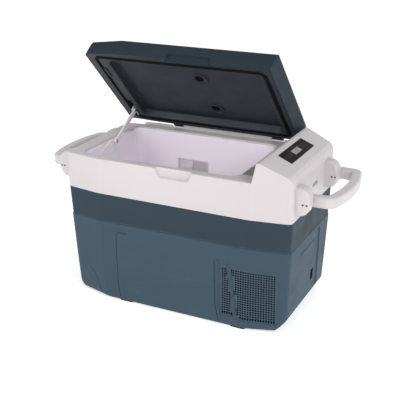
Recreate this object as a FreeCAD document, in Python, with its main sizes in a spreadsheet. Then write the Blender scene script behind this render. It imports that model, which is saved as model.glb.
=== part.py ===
# Portable compressor cooler fridge: slate blue base tub, white collar with a
# control console at the right end, top-opening lid hinged along the rear edge,
# a fold-down carrying handle at each end, and the cooling unit behind the
# perforated vent at the lower right front.
#
# Frame: +X along the length towards the console, -Y is the front, +Z is up,
# Z = 0 is the floor under the feet.  Lengths are millimetres.  The lid is
# drawn closed and placed open at its stop; everything is shifted along Y so
# that the middle of the overall box, with the lid open, is the origin.
import FreeCAD, Part
import math
import os

V = FreeCAD.Vector
doc = FreeCAD.newDocument("cooler_fridge")

# ---------------------------------------------------------------- sheet
sheet = doc.addObject("Spreadsheet::Sheet", "Params")
PARAMS = [
    ("col_half_len", 348), ("col_half_wid", 190), ("col_corner_wid", 174), ("facet_start", 235),
    ("seam_z", 336), ("rim_z", 440), ("top_z", 495), ("skin", 3), ("base_skin", 4),
    ("open_left", 304), ("open_right", 186), ("open_front", 158), ("open_rear", 152), ("open_rad", 34),
    ("lip_z", 404), ("tub_floor", 62), ("hump_z", 235), ("hump_x", 118),
    ("console_foot", 239), ("console_left", 251), ("console_right", 327), ("console_right_z", 466),
    ("lid_under", 443), ("lid_half_len", 337), ("lid_corner_wid", 177), ("lid_right", 237.5), ("lid_right_top", 249), ("lid_rear", 177), ("lid_open", 45.7),
    ("hinge_y", 190), ("hinge_z", 447), ("hinge_pin_dia", 8), ("hinge_bore_dia", 8.1), ("hinge_half", 149),
    ("tray_left", 272), ("tray_right", 198), ("tray_front", 150), ("tray_rear", 146), ("tray_depth", 20),
    ("gasket_left", 313), ("gasket_right", 221), ("gasket_front", 168.5), ("gasket_rear", 163), ("gasket_wid", 8), ("gasket_thk", 2.7),
    ("plug_dia", 58), ("plug_thk", 3),
    ("stay_y", 14), ("stay_z", 428), ("stay_len", 134.5), ("stay_open", 30.38), ("stay_shut", 8.55), ("stay_thk", 4), ("stay_wid", 11),
    ("boss_reach", 38), ("boss_half", 38), ("boss_z", 393), ("boss_wid", 36),
    ("handle_x", 371), ("handle_z", 388), ("handle_ht", 32), ("handle_wid", 26), ("handle_reach", 446), ("handle_bow", 14),
    ("handle_pin_dia", 12), ("handle_bore_dia", 12.1), ("handle_pin_len", 40),
    ("foot_len", 44), ("foot_wid", 30), ("foot_ht", 3), ("foot_rad", 6),
    ("panel_len", 180), ("panel_wid", 44), ("panel_thk", 2.4), ("lens_len", 50), ("lens_wid", 18), ("lens_thk", 1.2),
    ("button_dia", 11), ("button_ht", 3),
    ("inlet_wid", 24), ("inlet_ht", 36), ("inlet_depth", 18),
    ("port_len", 46), ("port_wid", 12), ("port_thk", 3),
    ("comp_rad", 58), ("comp_ht", 118), ("comp_x", 238), ("comp_y", 62),
    ("fan_size", 120), ("fan_depth", 25), ("fan_x", 236), ("fan_y", -92), ("fan_z", 110), ("hub_rad", 19), ("blade_rad", 54),
    ("cond_len", 140), ("cond_wid", 28), ("cond_ht", 132),
    ("board_len", 110), ("board_wid", 62), ("board_thk", 1.6),
    ("shift_y", 10.165),
]
for i, (alias, val) in enumerate(PARAMS, start=1):
    sheet.set("A%d" % i, alias)
    sheet.set("B%d" % i, str(val))
    sheet.setAlias("B%d" % i, alias)
doc.recompute()
P = dict((a, float(v)) for a, v in PARAMS)

NODES = []          # (node name, document object)
SHIFT = V(0, -P["shift_y"], 0)
BASE_PL = FreeCAD.Placement(SHIFT, FreeCAD.Rotation())


def open_placement():
    """Closed lid coordinates to the open pose: a turn about the hinge line."""
    c = V(0, P["hinge_y"], P["hinge_z"])
    rot = FreeCAD.Rotation(V(1, 0, 0), -P["lid_open"])
    return FreeCAD.Placement(SHIFT, FreeCAD.Rotation()).multiply(
        FreeCAD.Placement(V(0, 0, 0), rot, c))


LID_PL = open_placement()


def node(obj, name, placement=None):
    obj.Label = name
    if placement is not None:
        obj.Placement = placement
    NODES.append((name, obj))
    return obj


def feature(name, shape, placement=BASE_PL):
    o = doc.addObject("Part::Feature", name)
    o.Shape = shape
    return node(o, name, placement)


def bind(obj, **exprs):
    for prop, e in exprs.items():
        obj.setExpression(prop, e)
    return obj


def prim(kind, name, pos=(0, 0, 0), axis=None, angle=0, **exprs):
    """A Part primitive whose sizes are bound to the sheet."""
    o = doc.addObject("Part::" + kind, name)
    bind(o, **exprs)
    r = FreeCAD.Rotation(V(*axis), angle) if axis else FreeCAD.Rotation()
    o.Placement = FreeCAD.Placement(V(*pos), r)
    return o


def cut(name, base, tool):
    o = doc.addObject("Part::Cut", name)
    o.Base, o.Tool = base, tool
    return o


def fuse(name, parts):
    o = doc.addObject("Part::MultiFuse", name)
    o.Shapes = parts
    return o


def rounded_wire(x0, x1, y0, y1, r, z):
    """Rectangle with round corners, counter-clockwise, at height z."""
    pts = []
    es = []
    c = [(x1 - r, y0 + r, -90), (x1 - r, y1 - r, 0), (x0 + r, y1 - r, 90), (x0 + r, y0 + r, 180)]
    arcs = []
    for cx, cy, a0 in c:
        a = [math.radians(a0 + k * 45) for k in range(3)]
        arcs.append([V(cx + r * math.cos(t), cy + r * math.sin(t), z) for t in a])
    for k in range(4):
        es.append(Part.Arc(*arcs[k]).toShape())
        nx = arcs[(k + 1) % 4][0]
        if arcs[k][2].distanceToPoint(nx) > 1e-6:
            es.append(Part.makeLine(arcs[k][2], nx))
    return Part.Wire(es)


def rounded_prism(x0, x1, y0, y1, r, z0, z1):
    return Part.Face(rounded_wire(x0, x1, y0, y1, r, z0)).extrude(V(0, 0, z1 - z0))


def plan_points(a, b, bc, af, c, z):
    """Faceted plan of tub and collar: long sides break at +-af, corners are
    small arcs of radius c drawn with three chords."""
    pts = [V(-af, -b, z), V(af, -b, z)]
    def corner(sx, sy, order):
        out = []
        cx, cy = sx * (a - c), sy * (bc - c)
        angs = [0, 30, 60, 90]
        for t in (angs if order else angs[::-1]):
            t = math.radians(t)
            out.append(V(cx + sx * c * math.cos(t), cy + sy * c * math.sin(t), z))
        return out
    pts += corner(1, -1, False)
    pts += corner(1, 1, True)
    pts += [V(af, b, z), V(-af, b, z)]
    pts += corner(-1, 1, False)
    pts += corner(-1, -1, True)
    return pts


def polywire(pts):
    return Part.makePolygon(pts + [pts[0]])


def plan_loft(sections):
    """Ruled solid through plans (z, a, b, bc, corner)."""
    ws = [polywire(plan_points(a, b, bc, P["facet_start"] * a / P["col_half_len"], c, z)) for z, a, b, bc, c in sections]
    return Part.makeLoft(ws, True, True)


def prism_xz(pts, y0, y1):
    w = Part.makePolygon([V(x, y0, z) for x, z in pts] + [V(pts[0][0], y0, pts[0][1])])
    return Part.Face(w).extrude(V(0, y1 - y0, 0))


def prism_yz(pts, x0, x1):
    w = Part.makePolygon([V(x0, y, z) for y, z in pts] + [V(x0, pts[0][0], pts[0][1])])
    return Part.Face(w).extrude(V(x1 - x0, 0, 0))


def box(x0, x1, y0, y1, z0, z1):
    return Part.makeBox(x1 - x0, y1 - y0, z1 - z0, V(x0, y0, z0))


def cyl(r, p, d, l):
    return Part.makeCylinder(r, l, V(*p), V(*d))


A, B, BC = P["col_half_len"], P["col_half_wid"], P["col_corner_wid"]
SEAM, RIM, TOP = P["seam_z"], P["rim_z"], P["top_z"]
SK, BSK = P["skin"], P["base_skin"]

# ---------------------------------------------------------------- base tub
BASE_SECT = [(3, A - 24, B - 9, BC - 20, 20), (8, A - 17, B - 7, BC - 13, 20), (26, A - 11, B - 6, BC - 9, 20),
             (249, A - 3.5, B - 4, BC - 1, 18), (254, A - 2.5, B - 7, BC - 1, 16), (SEAM, A - 1.5, B - 1.5, BC - 0.5, 14)]
outer = plan_loft(BASE_SECT)
inner = plan_loft([(9, A - 21 - BSK, B - 8.5 - BSK, BC - 17 - BSK, 18)] +
                  [(z, a - BSK, b - BSK, bc - BSK, c - 2) for z, a, b, bc, c in BASE_SECT[2:-1]] +
                  [(SEAM + 1, A - 1.5 - BSK, B - 1.5 - BSK, BC - 0.5 - BSK, 12)])


def kick(dx, dz):
    """Everything below the raised bottom edge of the right end."""
    ux, uz = 0.6727, 0.7399
    return prism_xz([(308 - 20 * ux + dx, 3 - 20 * uz + dz), (338 + 40 * ux + dx, 36 + 40 * uz + dz), (430, 36 + 40 * uz + dz), (430, 3 - 20 * uz + dz)], -210, 210)


tub = outer.cut(kick(0, 0)).cut(inner.cut(kick(-0.7399 * BSK, 0.6727 * BSK)))
# vent windows in the lower right of the front wall
WIN_L = [(150, 44), (182, 44), (176, 148), (170, 150), (168, 186), (150, 186)]
WIN_R = [(201, 44), (314, 44), (314, 187), (185, 187)]
tub = tub.cut(prism_xz(WIN_L, -200, -150)).cut(prism_xz(WIN_R, -200, -145))
# inlet window and drain-side grooves on the right end, grooves on the front
INL = (328, 40, 100)
tub = tub.cut(box(318, 355, INL[1] - 12.2, INL[1] + 12.2, INL[2] - 18.2, INL[2] + 18.2))


def groove_xz(x0, z0, x1, z1, y, w=3.0, d=1.6):
    """Straight shallow groove on the front wall at depth y."""
    L = math.hypot(x1 - x0, z1 - z0)
    b = Part.makeBox(L, 14, w, V(0, -14, -w / 2))
    ang = math.degrees(math.atan2(z1 - z0, x1 - x0))
    b.rotate(V(0, 0, 0), V(0, 1, 0), -ang)
    b.translate(V(x0, y + d, z0))
    return b


# front wall y at height z (drafted)
def front_y(z):
    return -(B - 6 + (z - 26) * 2.0 / 223.0)


for (x0, z0, x1, z1) in [(-181, 205, -181, 66), (-181, 66, -176, 26), (135, 193, 137, 66), (137, 66, 146, 26)]:
    n = 3
    for k in range(n):
        xa, za = x0 + (x1 - x0) * k / n, z0 + (z1 - z0) * k / n
        xb, zb = x0 + (x1 - x0) * (k + 1) / n, z0 + (z1 - z0) * (k + 1) / n
        tub = tub.cut(groove_xz(xa, za, xb, zb, front_y((za + zb) / 2)))
tub = tub.cut(groove_xz(-172, 223, -150, 223, front_y(223)))
tub = tub.cut(groove_xz(-181, 205, -172, 223, front_y(214)))
feature("base_shell", tub)

# rubber feet, one PartDesign body each: a padded rectangle with round corners


def origin_plane(body, role="XY_Plane"):
    for f in body.Origin.OriginFeatures:
        if f.Role == role:
            return f


def rect_pad(name, lx, ly, lz, role="XY_Plane", fillet=None, midplane=False, reverse=False):
    """PartDesign body: a centred, constrained rectangle padded by lz."""
    body = doc.addObject("PartDesign::Body", name + "_body")
    sk = body.newObject("Sketcher::SketchObject", name + "_sketch")
    sk.AttachmentSupport = [(origin_plane(body, role), "")]
    sk.MapMode = "FlatFace"
    import Sketcher
    w, h_ = 10.0, 8.0
    pts = [V(-w, -h_, 0), V(w, -h_, 0), V(w, h_, 0), V(-w, h_, 0)]
    for k in range(4):
        sk.addGeometry(Part.LineSegment(pts[k], pts[(k + 1) % 4]), False)
    for k in range(4):
        sk.addConstraint(Sketcher.Constraint("Coincident", k, 2, (k + 1) % 4, 1))
    sk.addConstraint(Sketcher.Constraint("Horizontal", 0))
    sk.addConstraint(Sketcher.Constraint("Horizontal", 2))
    sk.addConstraint(Sketcher.Constraint("Vertical", 1))
    sk.addConstraint(Sketcher.Constraint("Vertical", 3))
    sk.addConstraint(Sketcher.Constraint("Symmetric", 0, 1, 1, 2, -1, 1))
    c1 = sk.addConstraint(Sketcher.Constraint("DistanceX", 0, 1, 0, 2, 2 * w))
    c2 = sk.addConstraint(Sketcher.Constraint("DistanceY", 1, 1, 1, 2, 2 * h_))
    sk.renameConstraint(c1, "size_x")
    sk.renameConstraint(c2, "size_y")
    sk.setExpression("Constraints.size_x", lx)
    sk.setExpression("Constraints.size_y", ly)
    doc.recompute()
    pad = body.newObject("PartDesign::Pad", name + "_pad")
    pad.Profile = sk
    if midplane:
        pad.Midplane = True
    if reverse:
        pad.Reversed = True
    pad.setExpression("Length", lz)
    doc.recompute()
    if fillet:
        n = V(0, 0, 1) if role == "XY_Plane" else (V(0, 1, 0) if role == "XZ_Plane" else V(1, 0, 0))
        names = []
        for i, e in enumerate(pad.Shape.Edges, start=1):
            d = e.Vertexes[-1].Point.sub(e.Vertexes[0].Point)
            if d.Length > 0 and abs(abs(d.normalize().dot(n)) - 1) < 1e-6:
                names.append("Edge%d" % i)
        f = body.newObject("PartDesign::Fillet", name + "_fillet")
        f.Base = (pad, names)
        f.setExpression("Radius", fillet)
        doc.recompute()
        body.Tip = f
    return body


for nm, x, y in [("foot_front_left", -160, -165), ("foot_front_right", 201, -165), ("foot_rear_left", -160, 136), ("foot_rear_right", 201, 136)]:
    b = rect_pad(nm, "Params.foot_len", "Params.foot_wid", "Params.foot_ht", fillet="Params.foot_rad")
    node(b, nm, FreeCAD.Placement(V(x, y - P["shift_y"], 0), FreeCAD.Rotation()))

# ---------------------------------------------------------------- vent grilles


def grille(pts, pitch, slot):
    """Vent panel that follows the tub wall inside its window, with upright slots."""
    def skin_at(d):
        return plan_loft([(26, A - 11 - d, B - 6 - d, BC - 9 - d, 20), (249, A - 3.5 - d, B - 4 - d, BC - 1 - d, 18)])
    pan = skin_at(1.4).cut(skin_at(3.6)).common(prism_xz(pts, -200, -140))
    xs = [p[0] for p in pts]
    cx = sum(xs) / len(xs)
    inner_pr = prism_xz([(px + (-3 if px > cx else 3), pz + (-4 if pz > 115 else 4)) for px, pz in pts], -200, -140)
    x = min(xs) + pitch * 0.7
    cutters = []
    while x < max(xs) - pitch / 2:
        cutters.append(box(x - slot / 2, x + slot / 2, -200, -140, 40, 114))
        cutters.append(box(x - slot / 2, x + slot / 2, -200, -140, 118, 190))
        x += pitch
    pan = pan.cut(Part.makeCompound(cutters).common(inner_pr))
    return sorted(pan.Solids, key=lambda q_: -q_.Volume)[0]


feature("vent_grille_left", grille(WIN_L, 8.4, 4.2))
feature("vent_grille_right", grille(WIN_R, 8.4, 4.2))

# ---------------------------------------------------------------- collar with console
plan = plan_loft([(SEAM, A, B, BC, 14), (RIM, A, B, BC, 14)])
plan_hi = plan_loft([(RIM - 1, A, B, BC, 14), (TOP + 5, A, B, BC, 14)])
CF, CL, CR, CRZ = P["console_foot"], P["console_left"], P["console_right"], P["console_right_z"]
prof = [(CF, RIM - 1), (CL, TOP), (CL + 4, TOP), (CR + 6, CRZ - 2.4), (A - 3, CRZ - 14), (A, CRZ - 26), (A + 1, RIM - 1)]
console = plan_hi.common(prism_xz(prof, -B - 5, B + 5))
body_ = plan.fuse(console)
# handle bosses: rounded lobes on both ends
BR, BH, BZ, BW = P["boss_reach"], P["boss_half"], P["boss_z"], P["boss_wid"]


def lobe(x_face, sx, y0, y1, reach, half, zc):
    n = 16
    pts = []
    for k in range(n + 1):
        t = math.radians(-90 + 180.0 * k / n)
        c_, s_ = abs(math.cos(t)) ** 0.75, math.copysign(abs(math.sin(t)) ** 0.75, t)
        pts.append((x_face + sx * reach * c_, zc + half * s_))
    pts.append((x_face - sx * 8, zc + half))
    pts.append((x_face - sx * 8, zc - half))
    return prism_xz(pts, y0, y1)


BOSS_Y = [(-154, -118), (88, 124)]
for sx in (1, -1):
    for y0, y1 in BOSS_Y:
        body_ = body_.fuse(lobe(sx * A, sx, y0, y1, BR, BH - 1.5, BZ - 2))
body_ = body_.removeSplitter()
OL, OR_, OF, OB, ORAD = P["open_left"], P["open_right"], P["open_front"], P["open_rear"], P["open_rad"]
mouth = rounded_prism(-OL, OR_, -OF, OB, ORAD, SEAM - 5, TOP + 10)
body_ = body_.cut(mouth)
# hollow underneath: outer skin, top deck and the inner collar wall are left
hollow = plan_loft([(SEAM - 1, A - SK, B - SK, BC - SK, 11), (RIM - SK, A - SK, B - SK, BC - SK, 11)])
keep = rounded_prism(-OL - SK, OR_ + SK, -OF - SK, OB + SK, ORAD + SK, P["lip_z"], RIM)
hollow = hollow.cut(keep)
body_ = body_.cut(hollow)
# hollow inside the console, open to the hollow under the deck
prof_in = [(CF + 14, RIM - 12), (CL + 6.5, TOP - SK - 1.5), (CR - 1, CRZ - SK - 1), (A - 6, CRZ - 17), (A - 4, RIM - 12)]
hol2 = plan_loft([(RIM - 12, A - SK, B - SK, BC - SK, 11), (TOP + 5, A - SK, B - SK, BC - SK, 11)]).common(prism_xz(prof_in, -B, B))
body_ = body_.cut(hol2)
# finger scoop in the front wall, and pivot bores along Y through the bosses
scoop = prism_xz([(-50, RIM + 2), (67, RIM + 2), (54, 414), (-35, 414)], -B - 2, -B + 12)
body_ = body_.cut(scoop)
pocket_back = prism_xz([(-53, RIM - 0.01), (70, RIM - 0.01), (57, 411), (-38, 411)], -B + 3.2, -B + 15).cut(prism_xz([(-50, RIM + 2), (67, RIM + 2), (54, 414), (-35, 414)], -B - 2, -B + 12))
body_ = body_.fuse(pocket_back.cut(mouth)).removeSplitter()
HX, HZ = P["handle_x"], P["handle_z"]
for sx in (1, -1):
    for y0, y1 in BOSS_Y:
        body_ = body_.cut(cyl(P["handle_bore_dia"] / 2, (sx * HX, y1 - 30, HZ), (0, 1, 0), 40))
        # two small sockets for the boss screws on the front of each boss
        for dx in (-2, 8):
            body_ = body_.cut(cyl(2.2, (sx * (HX + dx), y0 - 1, HZ + 1), (0, 1, 0), 5))
# panel recess on the slope and the port slot on the right end
SLOPE = math.degrees(math.atan2(TOP - CRZ, CR - (CL + 4)))
PC = V((CL + 4 + CR) / 2, 3, (TOP + CRZ) / 2)
PAN_ROT = FreeCAD.Rotation(V(0, 1, 0), SLOPE)


def on_slope(u, v, w):
    """Point on the console slope: u down the slope, v along Y, w outwards."""
    return PC + PAN_ROT.multVec(V(u, v, w))


rec = Part.makeBox(P["panel_wid"] + 0.6, P["panel_len"] + 0.6, 10, V(-(P["panel_wid"] + 0.6) / 2, -(P["panel_len"] + 0.6) / 2, -1.6))
rec.Placement = FreeCAD.Placement(PC, PAN_ROT)
body_ = body_.cut(rec)
# openings in the panel seat for the display and buttons' wiring
seat = Part.makeBox(30, 150, 20, V(-15, -75, -12))
seat.Placement = FreeCAD.Placement(PC, PAN_ROT)
body_ = body_.cut(seat)
PORT_Y, PORT_Z = 7, 393
port_cut = box(A - 2, A + 3, PORT_Y - P["port_len"] / 2, PORT_Y + P["port_len"] / 2, PORT_Z - P["port_wid"] / 2, PORT_Z + P["port_wid"] / 2)
body_ = body_.cut(port_cut)
# low ridge along the rear edge of the deck, either side of the hinge
ridge = plan_loft([(RIM - 0.5, A - 1, B - 0.5, BC - 0.5, 12), (RIM + 7, A - 1.5, B - 1, BC - 1, 12)]).cut(plan_loft([(RIM - 1, A - 5, B - 4.5, BC - 4.5, 10), (RIM + 8, A - 5, B - 4.5, BC - 4.5, 10)]))
for xa, xb in [(-285, -188), (188, 237)]:
    body_ = body_.fuse(ridge.common(box(xa, xb, 150, 200, RIM - 0.5, RIM + 7)))
body_ = body_.removeSplitter()
# shallow pocket in the deck for the lid switch cover
body_ = body_.cut(box(OR_ + 3.8, CF - 5.8, -134.2, -65.8, RIM - 1.4, RIM + 0.5))
if len(body_.Solids) > 1:
    body_ = sorted(body_.Solids, key=lambda s: -s.Volume)[0]
feature("upper_collar", body_)

# ---------------------------------------------------------------- inner liner, foam, evaporator
LIP, FL, HUZ, HUX = P["lip_z"], P["tub_floor"], P["hump_z"], P["hump_x"]
li = 4.0   # liner is this much inboard of the collar mouth
lx0, lx1, ly0, ly1 = -OL + li, OR_ - li, -OF + li, OB - li


def tubby(o):
    lo = rounded_prism(lx0 - o, HUX + o, ly0 - o, ly1 + o, 32 + o, FL - o, LIP)
    hi = rounded_prism(lx0 - o, lx1 + o, ly0 - o, ly1 + o, 32 + o, HUZ - o, LIP)
    return lo.fuse(hi).removeSplitter()


liner_in, liner_out = tubby(0), tubby(2)
flange = rounded_prism(lx0 - 18, lx1 + 18, ly0 - 18, ly1 + 18, 46, LIP - 2, LIP)
liner = liner_out.fuse(flange).cut(tubby(0).fuse(rounded_prism(lx0, lx1, ly0, ly1, 32, LIP - 3, LIP + 1)))
feature("inner_liner", liner)
evap = rounded_prism(lx0 - 3.8, HUX + 3.8, ly0 - 3.8, ly1 + 3.8, 36, 95, 222).cut(rounded_prism(lx0 - 2.2, HUX + 2.2, ly0 - 2.2, ly1 + 2.2, 34.2, 90, 230))
feature("evaporator_wrap", evap)
foam_plan = plan_loft([(16, A - 30, B - 24, BC - 26, 22), (60, A - 22, B - 20, BC - 16, 22), (SEAM - 1, A - 12, B - 14, BC - 12, 20), (LIP - 3, A - 12, B - 14, BC - 12, 20)])
foam_prof = prism_xz([(-A, 14), (146, 14), (146, 206), (212, 206), (212, LIP), (-A, LIP)], -B, B)
foam = foam_plan.common(foam_prof).cut(liner_out.fuse(flange)).cut(rounded_prism(lx0 - 4.2, HUX + 4.2, ly0 - 4.2, ly1 + 4.2, 36.4, 94, 223))
foam = sorted(foam.Solids, key=lambda s: -s.Volume)[0]
feature("foam_insulation", foam)
# cabin lamp on the rear wall of the liner: frame and lens side by side
LAMP = (-150, -46, 317, 356)
ly = ly1
fr = box(LAMP[0], LAMP[1], ly - 3, ly, LAMP[2], LAMP[3]).cut(box(LAMP[0] + 5, LAMP[1] - 5, ly - 4, ly - 0.8, LAMP[2] + 5, LAMP[3] - 5))
feature("cabin_vent_frame", fr)
mid = (LAMP[0] + LAMP[1]) / 2
b = prim("Box", "cabin_vent_louvre_body", (LAMP[0] + 5.2, ly - 2.4 - P["shift_y"], LAMP[2] + 5.2))
b.Length, b.Width, b.Height = mid - LAMP[0] - 5.6, 1.6, LAMP[3] - LAMP[2] - 10.4
node(b, "cabin_vent_louvre")
b = prim("Box", "cabin_lamp_lens_body", (mid + 0.3, ly - 2.0 - P["shift_y"], LAMP[2] + 5.2))
b.Length, b.Width, b.Height = LAMP[1] - mid - 5.6, 1.2, LAMP[3] - LAMP[2] - 10.4
node(b, "cabin_lamp_lens")
# lid switch cover on the deck at the right of the mouth
swc = box(OR_ + 4, CF - 6, -134, -66, RIM - 1.4, RIM + 0.1)
feature("lid_switch_cover", swc)

# ---------------------------------------------------------------- cooling unit
CX, CY = P["comp_x"], P["comp_y"]
plate = prim("Box", "compressor_plate_blank", (CX - 66, CY - 70, 12))
plate.Length, plate.Width, plate.Height = 132, 140, 2.5
lift = []
for k, (sx, sy) in enumerate([(-1, -1), (1, -1), (1, 1), (-1, 1)]):
    c_ = prim("Cylinder", "plate_post_%d" % k, (CX + sx * 54, CY + sy * 56, 9))
    c_.Radius, c_.Height = 5, 3.5
    lift.append(c_)
pl = fuse("compressor_plate_fuse", [plate] + lift)
node(pl, "compressor_plate", BASE_PL)
groms = []
for k, (sx, sy) in enumerate([(-1, -1), (1, -1), (1, 1), (-1, 1)], start=1):
    g = prim("Cylinder", "grommet_%d_body" % k, (CX + sx * 46, CY + sy * 46, 14.5))
    g.Radius, g.Height = 8, 11
    groms.append(g)
gset = doc.addObject("Part::Compound", "grommet_set")
gset.Links = groms
node(gset, "compressor_grommets", BASE_PL)
# compressor: revolved can with domed top and seam band, on a foot plate
body = doc.addObject("PartDesign::Body", "compressor_body")
sk = body.newObject("Sketcher::SketchObject", "compressor_profile")
sk.AttachmentSupport = [(origin_plane(body, "XZ_Plane"), "")]
sk.MapMode = "FlatFace"
R, H = P["comp_rad"], P["comp_ht"]
prof_pts = [(0, 0), (R - 12, 0), (R - 3, 9), (R - 3, 52), (R + 2, 53), (R + 2, 59), (R - 3, 60), (R - 4, 92), (R - 16, 108), (R - 34, H - 2), (0, H)]
for k in range(len(prof_pts)):
    a_, b_ = prof_pts[k], prof_pts[(k + 1) % len(prof_pts)]
    sk.addGeometry(Part.LineSegment(V(a_[0], a_[1], 0), V(b_[0], b_[1], 0)), False)
import Sketcher
for k in range(len(prof_pts)):
    sk.addConstraint(Sketcher.Constraint("Coincident", k, 2, (k + 1) % len(prof_pts), 1))
cc = sk.addConstraint(Sketcher.Constraint("DistanceY", 10, 2, 10, 1, H))
sk.renameConstraint(cc, "can_height")
sk.setExpression("Constraints.can_height", "Params.comp_ht")
doc.recompute()
rev = body.newObject("PartDesign::Revolution", "compressor_can")
rev.Profile = sk
rev.ReferenceAxis = (sk, ["V_Axis"])
rev.Angle = 360
doc.recompute()
body.Tip = rev
node(body, "compressor", FreeCAD.Placement(V(CX, CY - P["shift_y"], 29), FreeCAD.Rotation()))
cp = prim("Box", "compressor_foot_blank", (CX - 54, CY - 54, 25.5))
cp.Length, cp.Width, cp.Height = 108, 108, 3
node(cp, "compressor_foot", FreeCAD.Placement(V(CX - 54, CY - 54 - P["shift_y"], 25.5), FreeCAD.Rotation()))
# condenser: fin pack between two end plates with three tube rows
cnx0, cny = CX - 70, -138
fins = [box(cnx0 + 6 + i * 8.0, cnx0 + 7.2 + i * 8.0, cny, cny + P["cond_wid"], 40, 40 + P["cond_ht"]) for i in range(17)]
tubes = []
for i in range(5):
    z = 54 + i * 25
    for y in (cny + 8, cny + 20):
        tubes.append(cyl(3, (cnx0 - 3, y, z), (1, 0, 0), P["cond_len"] + 6))
ends = [box(cnx0, cnx0 + 1.6, cny, cny + P["cond_wid"], 36, 44 + P["cond_ht"]), box(cnx0 + P["cond_len"] - 1.6, cnx0 + P["cond_len"], cny, cny + P["cond_wid"], 36, 44 + P["cond_ht"])]
cond = fins[0].multiFuse(fins[1:] + ends + tubes + [box(cnx0 + 1, cnx0 + P["cond_len"] - 1, cny + 1, cny + P["cond_wid"] - 1, 36, 38), box(cnx0 + 1, cnx0 + P["cond_len"] - 1, cny + 1, cny + P["cond_wid"] - 1, 42 + P["cond_ht"], 44 + P["cond_ht"])])
feature("condenser", sorted(cond.Solids, key=lambda s: -s.Volume)[0])
feature("condenser_bracket", box(cnx0 + 10, cnx0 + P["cond_len"] - 10, cny + 4, cny + P["cond_wid"] - 4, 9, 11).fuse(box(cnx0 + 10, cnx0 + 14, cny + 4, cny + P["cond_wid"] - 4, 11, 36)).fuse(box(cnx0 + P["cond_len"] - 14, cnx0 + P["cond_len"] - 10, cny + 4, cny + P["cond_wid"] - 4, 11, 36)))
# axial fan: square frame with a round throat, centre bearing on four struts
FX, FY, FZ, FS, FD = P["fan_x"], P["fan_y"], P["fan_z"], P["fan_size"], P["fan_depth"]
frame_ = box(FX - FS / 2, FX + FS / 2, FY - FD / 2, FY + FD / 2, FZ - FS / 2, FZ + FS / 2)
frame_ = frame_.cut(cyl(FS / 2 - 3, (FX, FY - FD, FZ), (0, 1, 0), 2 * FD))
strut = None
hubp = cyl(18, (FX, FY + FD / 2 - 4, FZ), (0, 1, 0), 4)
for k in range(4):
    b_ = Part.makeBox(FS / 2 - 8, 3, 4, V(8, FY + FD / 2 - 3, -2))
    b_.rotate(V(0, 0, 0), V(0, 1, 0), 45 + 90 * k)
    b_.translate(V(FX, 0, FZ))
    hubp = hubp.fuse(b_)
axle = cyl(2.5, (FX, FY - FD / 2 + 4, FZ), (0, 1, 0), FD - 4)
frame_ = frame_.fuse(hubp).fuse(axle)
feature("fan_frame", frame_.removeSplitter())
feature("fan_stand", box(FX - 50, FX + 50, FY - 8, FY + 8, 9, FZ - FS / 2).cut(box(FX - 42, FX + 42, FY - 9, FY + 9, 12, FZ - FS / 2 - 4)))
# rotor: hub cup and seven pitched blades, bored for the axle
rot_ = cyl(P["hub_rad"], (FX, FY - FD / 2 + 2, FZ), (0, 1, 0), 17)
for k in range(7):
    bl = Part.makeBox(P["blade_rad"] - P["hub_rad"] + 3, 1.6, 22, V(P["hub_rad"] - 3, -0.8, -11))
    bl.rotate(V(0, 0, 0), V(1, 0, 0), 52)
    bl.rotate(V(0, 0, 0), V(0, 1, 0), k * 360.0 / 7)
    bl.translate(V(FX, FY - FD / 2 + 10.5, FZ))
    rot_ = rot_.fuse(bl)
rot_ = rot_.cut(cyl(2.55, (FX, FY - FD, FZ), (0, 1, 0), 2 * FD))
rot_ = rot_.common(cyl(P["blade_rad"], (FX, FY - FD / 2 + 1, FZ), (0, 1, 0), 19.5))
feature("fan_rotor", sorted(rot_.Solids, key=lambda s: -s.Volume)[0])


def pipe(points, r, name):
    """Round tube along straight runs joined by tangent arcs."""
    es = []
    prev = V(*points[0])
    for i in range(1, len(points) - 1):
        p, c, n = V(*points[i - 1]), V(*points[i]), V(*points[i + 1])
        d1, d2 = (p - c), (n - c)
        l1, l2 = d1.Length, d2.Length
        d1.normalize()
        d2.normalize()
        ang = math.acos(max(-1, min(1, d1.dot(d2))))
        t = min(0.45 * min(l1, l2), 14 / math.tan(ang / 2))
        rad = t * math.tan(ang / 2)
        a_, b_ = c + d1 * t, c + d2 * t
        bis = (d1 + d2)
        bis.normalize()
        m = c + bis * (math.hypot(rad, t) - rad)
        es.append(Part.makeLine(prev, a_))
        es.append(Part.Arc(a_, m, b_).toShape())
        prev = b_
    es.append(Part.makeLine(prev, V(*points[-1])))
    w = Part.Wire(es)
    e0 = es[0]
    t0 = e0.tangentAt(e0.FirstParameter)
    circ = Part.Wire([Part.makeCircle(r, V(*points[0]), t0)])
    s = w.makePipeShell([circ], True, False)
    return s


feature("discharge_tube", pipe([(CX - 30, CY - 30, 150), (CX - 30, CY - 30, 190), (CX - 75, -60, 190), (CX - 75, -130, 190), (CX - 75, -130, 160)], 3.0, "d"))
feature("suction_tube", pipe([(CX - 34, CY + 30, 150), (CX - 34, CY + 30, 178), (CX - 86, CY + 30, 178), (CX - 86, CY + 84, 178)], 4.0, "s"))
# control board on two standoffs under the console
bd = prim("Box", "control_board_body", (225, 10 - P["shift_y"], 396), Length="Params.board_wid", Width="Params.board_len", Height="Params.board_thk")
node(bd, "control_board")
feature("board_bracket", box(222, 290, 4, 8, 380, 410).fuse(box(222, 290, 122, 126, 380, 410)).fuse(box(222, 290, 4, 126, 378, 380)))

# ---------------------------------------------------------------- control panel


def slope_pl(u, v, w):
    p = on_slope(u, v, w)
    return FreeCAD.Placement(V(p.x, p.y - P["shift_y"], p.z), PAN_ROT)


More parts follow.
